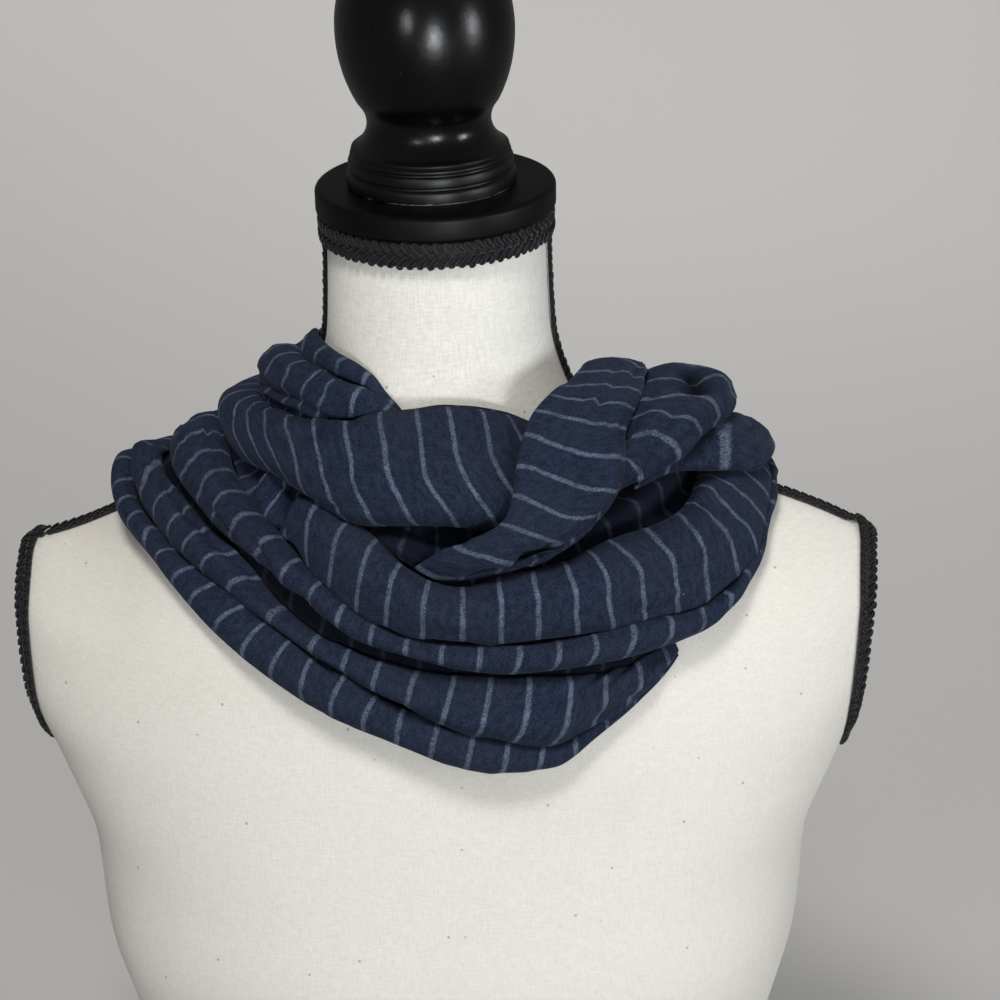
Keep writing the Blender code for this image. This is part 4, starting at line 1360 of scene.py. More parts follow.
# %% The crossing and the shoulder roll
CrossRow = namedtuple(
    "CrossRow",
    "left_angle left_at left_lift mid_angle mid_at mid_lift right_angle right_at right_lift"
    " left_roll right_roll",
)
CROSSING = [
    CrossRow(130, 66, 7, 130, 86, 10, 130, 105.5, 11, 5, 5),
    CrossRow(112, 58, 9, 114, 80, 13, 113, 106, 16, 7, 8),
    CrossRow(98, 43, 13, 101, 68, 22, 101, 104, 27, 6.5, 9),
    CrossRow(84, 29, 16, 91, 57, 28.5, 93, 105, 33, 5.5, 10.5),
    CrossRow(64, 16, 20.5, 79, 54, 32, 86, 106, 36.5, 6.5, 11.5),
    CrossRow(45, 17, 27, 68, 55, 32, 77, 99, 38, 9, 11),
    CrossRow(32, 25, 33, 61, 59, 30, 70, 94, 39, 12, 11),
    CrossRow(26, 41, 35, 56, 67, 29, 62, 90, 38, 12, 8),
    CrossRow(23, 55, 35, 52, 76, 28, 52.5, 82, 17, 12, 1.0),
    CrossRow(21, 67, 33, 46, 82, 26, 46, 86, 14, 11, 0.4),
    CrossRow(18, 76, 30, 37, 88, 24, 37, 91, 12, 10, 0.3),
    CrossRow(13, 80, 27, 27, 92, 21, 27, 94, 11, 9, 0.3),
    CrossRow(7, 83, 24, 17, 92, 18, 17, 93.5, 10, 7, 0.2),
    CrossRow(1, 87, 20, 9, 94, 14, 9, 95.5, 8, 5, 0.2),
    CrossRow(-3, 91, 14, 2, 95, 9, 2, 96, 6, 2.5, 0.2),
]
ShoulderRow = namedtuple(
    "ShoulderRow", "outer_angle outer_at outer_lift inner_angle inner_at inner_lift roll"
)
SHOULDER = [
    ShoulderRow(58, 86, 14, 70, 80, 14, 3),
    ShoulderRow(66, 92, 20, 80, 92, 22, 5),
    ShoulderRow(70, 102, 24, 85, 102, 25, 7),
    ShoulderRow(74, 113, 25, 90, 108, 26, 8),
    ShoulderRow(81, 128, 21, 97, 116, 20, 8),
    ShoulderRow(93, 134, 18, 105, 115, 17, 7.5),
    ShoulderRow(106, 134, 15.5, 113, 113, 14, 7),
    ShoulderRow(119, 129, 14.5, 121, 109, 12, 6),
    ShoulderRow(130, 124, 13.5, 130, 105.5, 11, 5),
]

print("crossing:", len(CROSSING), "sections, shoulder roll:", len(SHOULDER))

# %% [markdown]
# A stretch of cloth shows in the gap under the throat's roll. It lies in shade, and all of it
# is painted darker as shade. It is a flat layer close to the linen with one low fold, whose
# height changes along it.

# %% The stretch behind: its sections
BehindRow = namedtuple("BehindRow", "angle low_at fold_low_at fold_high_at fold_height top_at")
BEHIND = [
    BehindRow(-26, 96, 90, 72, 0, 64),
    BehindRow(-16, 100, 87, 73, 6, 64),
    BehindRow(-10, 104, 90, 74, 12, 64),
    BehindRow(-4, 106, 94, 76, 13, 64),
    BehindRow(2, 108, 98, 79, 7, 64),
    BehindRow(10, 109, 100, 80, 0, 65),
    BehindRow(30, 109, 98, 80, 0, 68),
    BehindRow(42, 109, 99, 80, 2, 71),
    BehindRow(54, 110, 101, 81, 7, 72),
    BehindRow(64, 111, 102, 80, 9, 68),
    BehindRow(74, 112, 103, 84, 7, 70),
    BehindRow(84, 113, 105, 88, 4, 76),
]
BEHIND_LIFT = 2.2

print("stretch behind:", len(BEHIND), "sections")

# %% [markdown]
# ## From sections to rolls of cloth
# Between two fold lines the cloth runs in an elliptical arc that turns under a little at both
# ends, and neighbouring arcs are joined by a tight turn at the bottom of the fold. A roll's sag
# moves its crest towards its first fold line, or away from it where the sag is negative. All
# stations are worked out at once with arrays, which is much faster than point by point.

# %% Rolls between fold lines
STATION_STEPS = 14
ROLL_STEPS = 24
TURN_STEPS = 3
ROLL_COLUMNS = ROLL_STEPS + 1 + TURN_STEPS
UNDERCUT = math.radians(30)
EDGE_UNDERCUT = math.radians(40)
PINCH = 1.0
FOLD_DEPTH = 3.0
FULL_FOLD_WIDTH = 8.0
SEAM_REACH = 14
NO_FOLD_WIDTH = 3.0
LEAST_FOLD = 0.1
SAG_UNEVENNESS = 0.22
FACET_UNEVENNESS = 0.3
WAVE_STATIONS = 22.0
WAVE_SEED_STEP = 5.3
Shape = namedtuple("Shape", "sag facet")


def fine_rows(rows, closed):
    """The table's rows with smooth stations between them; a closed one wraps round."""
    table = np.array(rows, float)
    pad = 0
    if closed:
        pad = 2
        before = table[-3:-1].copy()
        after = table[1:3].copy()
        before[:, 0] -= FULL_TURN
        after[:, 0] += FULL_TURN
        table = np.concatenate([before, table, after])
    knots = np.arange(len(table)) - float(pad)
    stations = np.linspace(0, len(rows) - 1, (len(rows) - 1) * STATION_STEPS + 1)
    columns = [smooth_through(knots, table[:, k], stations) for k in range(table.shape[1])]
    kind = type(rows[0])
    return [kind(*values) for values in np.transpose(columns)]


def unit_rows(vectors):
    return vectors / np.linalg.norm(vectors, axis=-1, keepdims=True)


def slow_wave(stations, seed):
    """A slow, smooth unevenness between -1 and 1 along a stretch."""
    places = [(i / WAVE_STATIONS, seed * WAVE_SEED_STEP, 0.5) for i in range(stations)]
    return np.array([noise.noise(Vector(place)) for place in places])


def rolls_grid(lines, outs, rolls, shapes, softness):
    """The middle surface as stations by columns of points, from fold lines and bulges."""
    count = rolls.shape[1]
    widths = np.linalg.norm(np.diff(lines, axis=1), axis=2)
    powers = ease((widths - NO_FOLD_WIDTH) / (FULL_FOLD_WIDTH - NO_FOLD_WIDTH))
    powers = np.maximum(powers, LEAST_FOLD)
    inner = np.minimum(powers[:, :-1], powers[:, 1:])
    inner = inner * softness[:, None]
    meets = np.concatenate([powers[:, :1], inner, powers[:, -1:]], axis=1)
    columns = []
    for j in range(count):
        along = unit_rows(lines[:, j + 1] - lines[:, j])
        out = outs[:, j] + outs[:, j + 1]
        out = unit_rows(out - along * np.sum(out * along, axis=1, keepdims=True))
        start_gap = PINCH * meets[:, j] * (j > 0)
        end_gap = PINCH * meets[:, j + 1] * (j < count - 1)
        half = (widths[:, j] - start_gap - end_gap) / 2
        middle = lines[:, j] + along * (start_gap + half)[:, None]
        first = -(UNDERCUT if j else EDGE_UNDERCUT) * meets[:, j]
        last = math.pi + (UNDERCUT if j < count - 1 else EDGE_UNDERCUT) * meets[:, j + 1]
        if columns:
            ahead = middle - along * (half * np.cos(first))[:, None]
            ahead = ahead + out * (rolls[:, j] * np.sin(first))[:, None]
            behind = columns[-1]
            deep = (ahead + behind) / 2 - outs[:, j] * (2 * FOLD_DEPTH * meets[:, j])[:, None]
            for step in range(1, TURN_STEPS + 1):
                t = step / (TURN_STEPS + 1)
                columns.append((1 - t) ** 2 * behind + 2 * t * (1 - t) * deep + t * t * ahead)
        sag = shapes[j].sag + SAG_UNEVENNESS * slow_wave(len(lines), j + 1)
        facet = shapes[j].facet + FACET_UNEVENNESS * slow_wave(len(lines), j + 11)
        for step in range(ROLL_STEPS + 1):
            turn = first + (last - first) * step / ROLL_STEPS
            sway = -np.cos(turn) - sag * np.sin(turn) ** 2
            rise = np.sin(turn) * (1 - facet * (1 - abs(np.sin(turn))))
            point = middle + along * (half * sway)[:, None]
            columns.append(point + out * (rolls[:, j] * rise)[:, None])
    return np.stack(columns, axis=1)


def stretch_from(rows, places_of, rolls_of, shapes, closed=False, softness=1.0):
    """The middle surface of a stretch; places_of gives its fold lines, rolls_of their bulges."""
    stations = fine_rows(rows, closed)
    spots = [[on_form(*place) for place in places_of(row)] for row in stations]
    lines = np.array([[spot[0] for spot in row] for row in spots])
    outs = np.array([[spot[1] for spot in row] for row in spots])
    rolls = np.array([rolls_of(row) for row in stations])
    soft = np.broadcast_to(np.asarray(softness, float), (len(stations),))
    grid = rolls_grid(lines, outs, rolls, shapes, soft)
    return closed_up(grid) if closed else grid


def roll_slice(roll):
    """The columns of one roll in a stretch's grid."""
    first = roll * ROLL_COLUMNS
    return slice(first, first + ROLL_STEPS + 1)


def faded(difference, stations, reach, at_end=False):
    """A difference at one end of a stretch that fades out over some stations."""
    weight = ease(1 - np.arange(stations) / reach)
    if at_end:
        weight = weight[::-1]
    return weight.reshape(-1, *[1] * difference.ndim) * difference[None]


def led_to(values, target, at_end=False):
    """A stretch with its first or last station brought onto a target, faded over some stations."""
    own = values[-1] if at_end else values[0]
    return values + faded(target - own, len(values), SEAM_REACH, at_end)


def closed_up(values):
    """A closed stretch with both its ends brought to their mean."""
    seam = (values[0] + values[-1]) / 2
    return led_to(led_to(values, seam), seam, at_end=True)


print("roll maker ready:", ROLL_STEPS, "facets a roll")

# %% [markdown]
# ## The stretches
# Five rolled stretches of cloth come first, and a flat one behind them follows. The neck wrap,
# the crossing and the shoulder roll meet at the back of the right shoulder, where the scarf
# changes from three rolls to two and one. The few millimetres by which their ends differ are
# faded out over the next stations.

# %% Fold lines of each stretch
TONGUE_LIFT = 4.2
TONGUE_START = 4.0
CHEST_SHAPES = [Shape(0.0, 0.35), Shape(-0.18, 0.5)]
LOWEST_SHAPES = [Shape(0.12, 0.3), Shape(0.3, 0.45)]
NECK_SHAPES = [Shape(0.34, 0.45), Shape(-0.2, 0.6), Shape(-0.2, 0.6)]
CROSSING_SHAPES = [Shape(0.34, 0.3), Shape(0.26, 0.5)]
ROUND_SHAPES = [Shape(0.0, 0.35)]
CROSSING_SOFT = 0.35
CROSSING_FRONT_SOFT = 0.9


def fold_lines(*names):
    """Reads named fold lines from a row; those without an angle of their own share the row's."""

    def read(row):
        shared = getattr(row, "angle", None)
        places = []
        for name in names:
            angle = getattr(row, name + "_angle", shared)
            places.append((angle, getattr(row, name + "_at"), getattr(row, name + "_lift")))
        return places

    return read


def bulges(*names):
    """Reads the named rolls' bulges from a row."""

    def read(row):
        return [getattr(row, name) for name in names]

    return read


CHEST_ROWS = INNER_BACK + INNER_FRONT[1:]
LOWEST_ROWS = OUTER_BACK + OUTER_FRONT[1:]
NECK_ROWS = NECK_BACK + NECK_FRONT[1:]
CHEST_LINES = fold_lines("low", "mid", "top")
CHEST_BULGES = bulges("low_roll", "top_roll")
CHEST = stretch_from(CHEST_ROWS, CHEST_LINES, CHEST_BULGES, CHEST_SHAPES, closed=True)
LOWEST = stretch_from(LOWEST_ROWS, CHEST_LINES, CHEST_BULGES, LOWEST_SHAPES)
NECK = stretch_from(
    NECK_ROWS,
    fold_lines("low", "mid", "high", "neck"),
    bulges("low_roll", "mid_roll", "neck_roll"),
    NECK_SHAPES,
)
soft_rows = [1.0] + [CROSSING_SOFT] * 6 + [CROSSING_FRONT_SOFT] * 8
last_row = len(CROSSING) - 1
CROSS = stretch_from(
    CROSSING,
    fold_lines("right", "mid", "left"),
    bulges("right_roll", "left_roll"),
    CROSSING_SHAPES,
    softness=np.interp(
        np.linspace(0, last_row, last_row * STATION_STEPS + 1), np.arange(len(CROSSING)), soft_rows
    ),
)
ROUND = stretch_from(SHOULDER, fold_lines("outer", "inner"), bulges("roll"), ROUND_SHAPES)
CROSS = led_to(CROSS, NECK[0, ROLL_COLUMNS:])
ROUND = led_to(ROUND, NECK[0, roll_slice(0)], at_end=True)
for word, grid in (("chest", CHEST), ("lowest", LOWEST), ("neck", NECK), ("crossing", CROSS)):
    print(word, grid.shape[0], "stations of", grid.shape[1], "points")

# %% [markdown]
# The lowest wrap goes on as a hidden tongue under the rolls above it, and the stretch behind is
# a flat layer with one soft fold.

# %% The tongue and the stretch behind
def with_tongue(grid, rows):
    near = []
    far = []
    for row in fine_rows(rows, False):
        lift = min(row.top_lift, TONGUE_LIFT)
        near.append(on_form(row.angle, row.top_at - TONGUE_START, lift)[0])
        far.append(on_form(row.angle, row.tongue_at, lift)[0])
    near = np.array(near)
    far = np.array(far)
    steps = [near, (near + far) / 2, far]
    return np.concatenate([grid, np.stack(steps, axis=1)], axis=1)


def behind_section(row):
    places = [(row.low_at, 0.0), ((row.low_at + row.fold_low_at) / 2, 0.0)]
    for share in np.linspace(0, 1, ROLL_STEPS - 3):
        at = row.fold_low_at + (row.fold_high_at - row.fold_low_at) * share
        places.append((at, row.fold_height * math.sin(math.pi * share) ** 2))
    places.append(((row.fold_high_at + row.top_at) / 2, 0.0))
    places.append((row.top_at, 0.0))
    return [on_form(row.angle, at, BEHIND_LIFT + height)[0] for at, height in places]


LOWEST = with_tongue(LOWEST, LOWEST_ROWS)
BACKING = np.array([behind_section(row) for row in fine_rows(BEHIND, False)])
print("stretch behind:", BACKING.shape[0], "stations of", BACKING.shape[1], "points")

# %% [markdown]
# ## Finding a place on the cloth
# Stripes and creases are easiest to place where they show. The camera's frame is taken as a
# square of 1000 units a side, counted from its upper left corner. A place in that frame is
# found on a roll by looking for the nearest point of the roll that faces the camera.

# %% From the camera's frame to the cloth
FRAME_SIZE = 1000.0
HIDDEN_PENALTY = 60.0
FIND_TOLERANCE = 0.05


def seen_at(points):
    """Where points in millimetres show in the camera's frame."""
    place = np.array(camera.matrix_world.translation)
    turn = np.array(camera.matrix_world.to_3x3())
    local = (points * MM - place) @ turn
    scale = VIEW_LENS / VIEW_SENSOR * FRAME_SIZE
    across = FRAME_SIZE / 2 + scale * local[..., 0] / -local[..., 2]
    down = FRAME_SIZE / 2 - scale * local[..., 1] / -local[..., 2]
    return np.stack([across, down], axis=-1)


def outward_normals(points):
    """Unit normals of a grid, on the side away from the form's axis."""
    normal = np.cross(np.gradient(points, axis=0), np.gradient(points, axis=1))
    normal /= np.maximum(np.linalg.norm(normal, axis=2, keepdims=True), 1e-9)
    away = points * np.array([1.0, 1.0, 0.0])
    crest = np.sum(normal * away, axis=(0, 2))
    return normal * np.sign(crest.sum())


class Roll:
    """One roll of a stretch, with distances measured along and across its cloth."""

    def __init__(self, points):
        self.points = points
        steps = np.linalg.norm(np.diff(points, axis=0), axis=2).mean(axis=1)
        across = np.linalg.norm(np.diff(points, axis=1), axis=2)
        zero = np.zeros((len(points), 1))
        width = np.concatenate([zero, np.cumsum(across, axis=1)], axis=1)
        run = np.concatenate([[0.0], np.cumsum(steps)])
        self.width = width - width[:, -1:] / 2
        self.run = np.repeat(run[:, None], points.shape[1], axis=1)
        self.seen = seen_at(points)
        place = np.array(camera.matrix_world.translation) / MM
        sight = np.sum(outward_normals(points) * (place - points), axis=2)
        self.hidden = sight <= 0

    def find(self, across, down):
        """Distances (along, across) on the cloth of a place in the camera's frame."""
        wanted = np.array([across, down], float)
        gap = np.linalg.norm(self.seen - wanted, axis=2) + HIDDEN_PENALTY * self.hidden
        i, j = np.unravel_index(np.argmin(gap), gap.shape)
        i = min(max(i, 1), gap.shape[0] - 2)
        j = min(max(j, 1), gap.shape[1] - 2)
        by_row = (self.seen[i + 1, j] - self.seen[i - 1, j]) / 2
        by_column = (self.seen[i, j + 1] - self.seen[i, j - 1]) / 2
        steps = np.linalg.lstsq(
            np.stack([by_row, by_column], axis=1), wanted - self.seen[i, j], rcond=FIND_TOLERANCE
        )[0]
        steps = np.clip(steps, -1.0, 1.0)
        run = self.run[i, j] + steps[0] * (self.run[i + 1, j] - self.run[i - 1, j]) / 2
        width = self.width[i, j] + steps[1] * (self.width[i, j + 1] - self.width[i, j - 1]) / 2
        return np.array([run, width])


probe = Roll(CHEST[:, roll_slice(1)])
print("a place on the chest's upper roll:", np.round(probe.find(500, 600)), "mm")

# %% [markdown]
# ## Soft creases
# Jersey doesn't break into sharp folds. It shows shallow troughs and ridges, each with its own
# length, depth and width, that mostly run along a roll. The main ones are listed one by one. Faint
# ones come from a seeded generator, long thin wrinkles from a stretched noise, and
# a slow noise keeps every roll uneven. A trough has a positive depth in millimetres and a ridge
# a negative one.

# %% Crease helpers
Crease = namedtuple("Crease", "x_from y_from x_to y_to bow depth width")
LIVELINESS = 0.9
BROAD_SIZE = 34.0
FINE_SIZE = 13.0
FINE_SHARE = 0.35
EDGE_FADE = 8.0
CREASE_TAPER = 3.2
CREASE_ROUNDING = 0.5
FAINT_HALF_LENGTH = (9, 34)
FAINT_SLANT = (-0.28, 0.28)
FAINT_BOW = (-3, 3)
FAINT_DEPTH = (-0.35, 0.55)
FAINT_WIDTH = (1.8, 4.5)
CALM_REACH = 32.0
# DEEP_START and DEEP_RUN, in millimetres, set where a crease's trough begins to be painted dark as
# shade.
DEEP_START = 2.0
DEEP_RUN = 4.0


def crease_height(roll, start, end, bow, depth, size):
    """A trough along a bowed line between two places on the cloth."""
    way = end - start
    length = np.linalg.norm(way)
    aside = np.array([-way[1], way[0]]) / length
    share = ((roll.run - start[0]) * way[0] + (roll.width - start[1]) * way[1]) / length**2
    inside = np.clip(share, 0.0, 1.0)
    swing = 4 * bow * inside * (1 - inside)
    along = start[0] + way[0] * inside + aside[0] * swing
    across = start[1] + way[1] * inside + aside[1] * swing
    away = np.hypot(roll.run - along, roll.width - across) / size
    taper = ease(np.minimum(inside, 1 - inside) * CREASE_TAPER)
    return -depth * taper * np.exp(CREASE_ROUNDING - np.sqrt(away**2 + CREASE_ROUNDING**2))


def faint_creases(roll, count, seed):
    draw = np.random.RandomState(seed)
    height = np.zeros(roll.run.shape)
    for _ in range(count):
        station = draw.randint(roll.run.shape[0])
        column = draw.randint(roll.run.shape[1])
        middle = np.array([roll.run[station, column], roll.width[station, column]])
        half = draw.uniform(*FAINT_HALF_LENGTH)
        reach = np.array([half, half * draw.uniform(*FAINT_SLANT)])
        bow = draw.uniform(*FAINT_BOW)
        depth = draw.uniform(*FAINT_DEPTH)
        size = draw.uniform(*FAINT_WIDTH)
        height += crease_height(roll, middle - reach, middle + reach, bow, depth, size)
    return height


WRINKLE_LENGTH = 42.0
WRINKLE_WIDTH = 7.5
WRINKLE_DEPTH = 2.4
WRINKLE_SOFTNESS = 0.13
WRINKLE_NARROWNESS = 3.2
BEND_SIZE = (60.0, 30.0)
BEND_ACROSS = 1.6
PATCH_SIZE = (55.0, 40.0)
PATCH_CONTRAST = 2.2
PATCH_LEVEL = 0.45


def cloth_noise(run, width, size, seed):
    return noise.noise(Vector((run / size[0], width / size[1], seed)))


def drag_lines(roll, seed):
    """Long thin wrinkles along a roll, narrow on top, which come and go in patches."""
    height = np.zeros(roll.run.shape)
    for index, (run, width) in enumerate(zip(roll.run.ravel(), roll.width.ravel())):
        bend = cloth_noise(run, width, BEND_SIZE, seed + 3.1)
        place = Vector((run / WRINKLE_LENGTH + bend, width / WRINKLE_WIDTH + BEND_ACROSS * bend, seed))
        patch = cloth_noise(run, width, PATCH_SIZE, seed + 9.7)
        crest = 1.0 - math.hypot(noise.noise(place), WRINKLE_SOFTNESS) * WRINKLE_NARROWNESS
        height.flat[index] = crest * min(max(patch * PATCH_CONTRAST + PATCH_LEVEL, 0.0), 1.0)
    return WRINKLE_DEPTH * (height - height.mean())


def slow_noise(points, size):
    flat = points.reshape(-1, 3) / size
    values = [noise.noise(Vector(point)) for point in flat]
    return np.array(values).reshape(points.shape[:2])


def lay_creases(grid, creases, faint, seed, closed=False):
    """The grid with its creases pressed in along its normals, and how deep each point lies."""
    height = LIVELINESS * slow_noise(grid, BROAD_SIZE)
    height = height + FINE_SHARE * LIVELINESS * slow_noise(grid, FINE_SIZE)
    calm = ease(np.arange(len(grid))[::-1, None] / CALM_REACH) if not closed else 1.0
    for number, placed in enumerate(creases):
        roll = Roll(grid[:, roll_slice(number)])
        edge = np.linspace(0, 1, roll.run.shape[1])
        inside = ease(np.minimum(edge, 1 - edge) * EDGE_FADE)
        bumps = faint_creases(roll, faint, seed + number)
        bumps = (bumps + drag_lines(roll, seed + number)) * inside
        for crease in placed:
            start = roll.find(crease.x_from, crease.y_from)
            end = roll.find(crease.x_to, crease.y_to)
            bumps += crease_height(roll, start, end, crease.bow, crease.depth, crease.width)
        height[:, roll_slice(number)] += bumps
    height = (closed_up(height) if closed else height) * calm
    # How deeply pressed each point is, from 0 to 1, later sets the painted shade of the jersey.
    pressed = ease((-height - DEEP_START) / DEEP_RUN)
    return grid + outward_normals(grid) * height[:, :, None], pressed


print("crease maker ready")

# %% [markdown]
# ## Where the stripes fall
# A stripe is knitted straight across the band, but every roll is pulled along by its own amount,
# so the stripes of neighbouring rolls don't meet at a fold line. Each row marks where one
# stripe shows: its ends, and its middle where it bends. Between and beyond the marks the
# stripes keep their knitted distance as nearly as they can.

# %% Numbering the stripes
Stripe = namedtuple("Stripe", "x_from y_from x_to y_to x_bend y_bend", defaults=(None, None))
HIDDEN = None  # a stripe that lies in a fold
PITCH_MM = STRIPE_PITCH / MM
MARK_SOFTNESS = 3.5
MARK_SLACK = 1.5
CLOSED_STRIPE_REACH = 60
CROSSING_STRIPE_REACH = 40
SHOULDER_STRIPE_REACH = 30


def softened(first, second):
    gap = first[:, None, :] - second[None, :, :]
    return np.sqrt(np.sum(gap**2, axis=2) + MARK_SOFTNESS**2)


def number_field(roll, stripes):
    """A number all over a roll that passes a whole one at each marked stripe."""
    spots = []
    numbers = []
    for number, stripe in enumerate(stripes):
        if stripe is HIDDEN:
            continue
        ends = [(stripe.x_from, stripe.y_from), (stripe.x_to, stripe.y_to)]
        if stripe.x_bend is not None:
            bend = (stripe.x_bend, stripe.y_bend)
            halfway = [((x + bend[0]) / 2, (y + bend[1]) / 2) for x, y in ends]
            ends += [bend, *halfway]
        for place in ends:
            spots.append(roll.find(*place))
            numbers.append(float(number))
    spots = np.array(spots)
    numbers = np.array(numbers)
    trend = np.cov(spots[:, 0], numbers)[0, 1] if len(stripes) > 1 else 1.0
    sign = 1.0 if trend > 0 else -1.0
    offset = numbers - sign * spots[:, 0] / PITCH_MM
    count = len(spots)
    system = np.ones((count + 1, count + 1))
    system[:count, :count] = softened(spots, spots) - MARK_SLACK * np.eye(count)
    system[count, count] = 0.0
    weights = np.linalg.solve(system, np.append(offset, 0.0))
    places = np.stack([roll.run.ravel(), roll.width.ravel()], axis=1)
    shift = softened(places, spots) @ weights[:-1] + weights[-1]
    return sign * roll.run / PITCH_MM + shift.reshape(roll.run.shape)


def stripe_grid(grid, stripes, closed=False):
    """Stripe numbers over a whole stretch, from one list of marks for each roll."""
    numbers = np.full(grid.shape[:2], np.nan)
    for index, marks in enumerate(stripes):
        numbers[:, roll_slice(index)] = number_field(Roll(grid[:, roll_slice(index)]), marks)
    columns = np.arange(grid.shape[1])
    known = ~np.isnan(numbers[0])
    for station in numbers:
        station[~known] = np.interp(columns[~known], columns[known], station[known])
    if closed:
        lacking = numbers[0] - numbers[-1]
        numbers += whole_step(lacking, len(numbers), CLOSED_STRIPE_REACH, at_end=True)
    return numbers


def whole_step(difference, stations, reach, at_end=False):
    """Fades out what each roll's stripe numbers lack to a whole one at the end of a stretch."""
    lacking = difference.copy()
    for first in range(0, len(lacking), ROLL_COLUMNS):
        roll = slice(first, first + ROLL_COLUMNS)
        lacking[roll] -= np.round(lacking[roll].mean())
    return faded(lacking, stations, reach, at_end)


print("stripes every", PITCH_MM, "mm")

# %% [markdown]
# The tables of marks follow, one for each roll that shows. They are listed in the order in which
# the stripes are knitted, and a stripe that lies in a fold still counts.

# %% Stripes on the chest and lowest wraps
CHEST_UPPER_STRIPES = [
    Stripe(231, 469, 248, 462),
    Stripe(236, 481, 256, 472),
    Stripe(243, 494, 264, 486),
    Stripe(268, 508, 286, 475),
    Stripe(291, 503, 287, 533),
    Stripe(321, 504, 308, 562),
    Stripe(347, 524, 331, 593),
    Stripe(370, 548, 356, 614),
    Stripe(394, 573, 387, 628),
    Stripe(425, 595, 424, 641),
    Stripe(463, 600, 462, 645),
    Stripe(497, 578, 500, 645, 502, 606),
    Stripe(529, 570, 538, 642, 538, 599),
    Stripe(566, 565, 575, 636, 576, 592),
    Stripe(594, 556, 609, 630, 607, 574),
    Stripe(612, 542, 644, 619, 641, 570),
    Stripe(644, 529, 678, 609, 673, 560),
    Stripe(677, 511, 707, 594, 702, 543),
    Stripe(702, 509, 738, 581, 731, 538),
    Stripe(707, 484, 761, 563, 751, 530),
    Stripe(709, 475, 770, 520, 738, 488),
]
CHEST_LOWER_STRIPES = [
    Stripe(222, 437, 176, 458),
    Stripe(223, 453, 181, 477, 200, 452),
    Stripe(231, 471, 199, 496, 210, 473),
    Stripe(235, 492, 213, 522),
    Stripe(259, 516, 233, 541),
    Stripe(273, 538, 258, 562),
    Stripe(296, 561, 282, 581),
    Stripe(319, 584, 310, 602),
    HIDDEN,
    HIDDEN,
    HIDDEN,
    HIDDEN,
    HIDDEN,
    Stripe(521, 648, 512, 672),
    Stripe(559, 645, 550, 669),
    Stripe(596, 639, 587, 664),
    Stripe(635, 630, 631, 646),
    Stripe(671, 621, 668, 639),
    Stripe(701, 609, 703, 625),
    Stripe(731, 594, 725, 612),
]
LOWEST_UPPER_STRIPES = [
    Stripe(160, 464, 142, 503, 148, 472),
    Stripe(173, 485, 158, 501),
    Stripe(193, 505, 172, 521),
    Stripe(213, 530, 187, 542),
    Stripe(236, 553, 203, 570),
    Stripe(258, 579, 227, 588),
    HIDDEN,
    Stripe(316, 639, 311, 648),
    Stripe(348, 650, 344, 666),
    Stripe(380, 663, 374, 691),
    Stripe(417, 673, 408, 706),
    Stripe(454, 677, 444, 714),
    Stripe(491, 680, 475, 735),
    Stripe(529, 677, 510, 743),
    Stripe(566, 672, 548, 747),
    Stripe(601, 672, 592, 726),
    Stripe(640, 670, 628, 703),
]
LOWEST_STRIPES = [
    Stripe(133, 479, 109, 501, 117, 484),
    Stripe(133, 495, 113, 520, 121, 501),
    Stripe(132, 516, 127, 534),
    Stripe(147, 528, 147, 545),
    Stripe(170, 550, 156, 557),
    Stripe(198, 568, 176, 577),
    Stripe(224, 587, 193, 605),
    Stripe(242, 608, 215, 628),
    Stripe(261, 626, 244, 646),
    Stripe(288, 643, 271, 672),
    Stripe(313, 660, 301, 691),
    Stripe(343, 678, 331, 708),
    Stripe(377, 697, 363, 724),
    Stripe(408, 709, 397, 740),
    Stripe(438, 724, 431, 752),
    Stripe(473, 737, 467, 765),
    Stripe(508, 744, 504, 765),
    Stripe(544, 749, 540, 760),
    Stripe(577, 738, 574, 748),
]
CHEST_MARKS = [CHEST_LOWER_STRIPES, CHEST_UPPER_STRIPES]
LOWEST_MARKS = [LOWEST_STRIPES, LOWEST_UPPER_STRIPES]


def marked(rolls):
    """How many stripes are marked on some rolls, without the hidden ones."""
    return sum(stripe is not HIDDEN for marks in rolls for stripe in marks)


print("marked on the lower loop:", marked(CHEST_MARKS + LOWEST_MARKS), "stripes")

# %% [markdown]
# The upper loop's rolls are marked the same way. A stripe that bends over its roll has a mark at
# the bend as well.

# %% Stripes on the neck wrap, the crossing and the shoulder roll
NECK_LOWER_STRIPES = [
    Stripe(236, 414, 243, 448, 235, 432),
    Stripe(249, 409, 262, 457, 248, 430),
    Stripe(262, 413, 282, 468, 268, 442),
    Stripe(285, 422, 300, 482, 296, 456),
    Stripe(313, 421, 328, 491, 317, 450),
    Stripe(345, 421, 371, 518, 353, 482),
    Stripe(380, 415, 412, 519, 391, 483),
    Stripe(417, 406, 454, 520, 426, 480),
    Stripe(446, 406, 494, 519, 462, 473),
    Stripe(482, 412, 514, 495, 494, 467),
]
NECK_MIDDLE_STRIPES = [
    Stripe(294, 364, 284, 402),
    Stripe(319, 373, 301, 415),
    Stripe(339, 381, 317, 415),
    Stripe(365, 389, 351, 415),
    Stripe(396, 399, 390, 407),
]
NECK_UPPER_STRIPES = [
    Stripe(313, 338, 301, 355),
    Stripe(330, 346, 320, 366),
    Stripe(350, 360, 339, 375),
    Stripe(370, 376, 363, 382),
]
CROSSING_LEFT_STRIPES = [
    Stripe(556, 384, 630, 388),
    Stripe(545, 394, 626, 406),
    Stripe(536, 412, 622, 427, 580, 421),
    Stripe(524, 435, 628, 462, 577, 453),
    Stripe(520, 466, 623, 496, 571, 484),
    Stripe(518, 495, 595, 520, 563, 517),
    Stripe(506, 525, 571, 553, 535, 534),
    Stripe(460, 550, 509, 562, 481, 556),
    Stripe(421, 568, 460, 586, 439, 579),
]
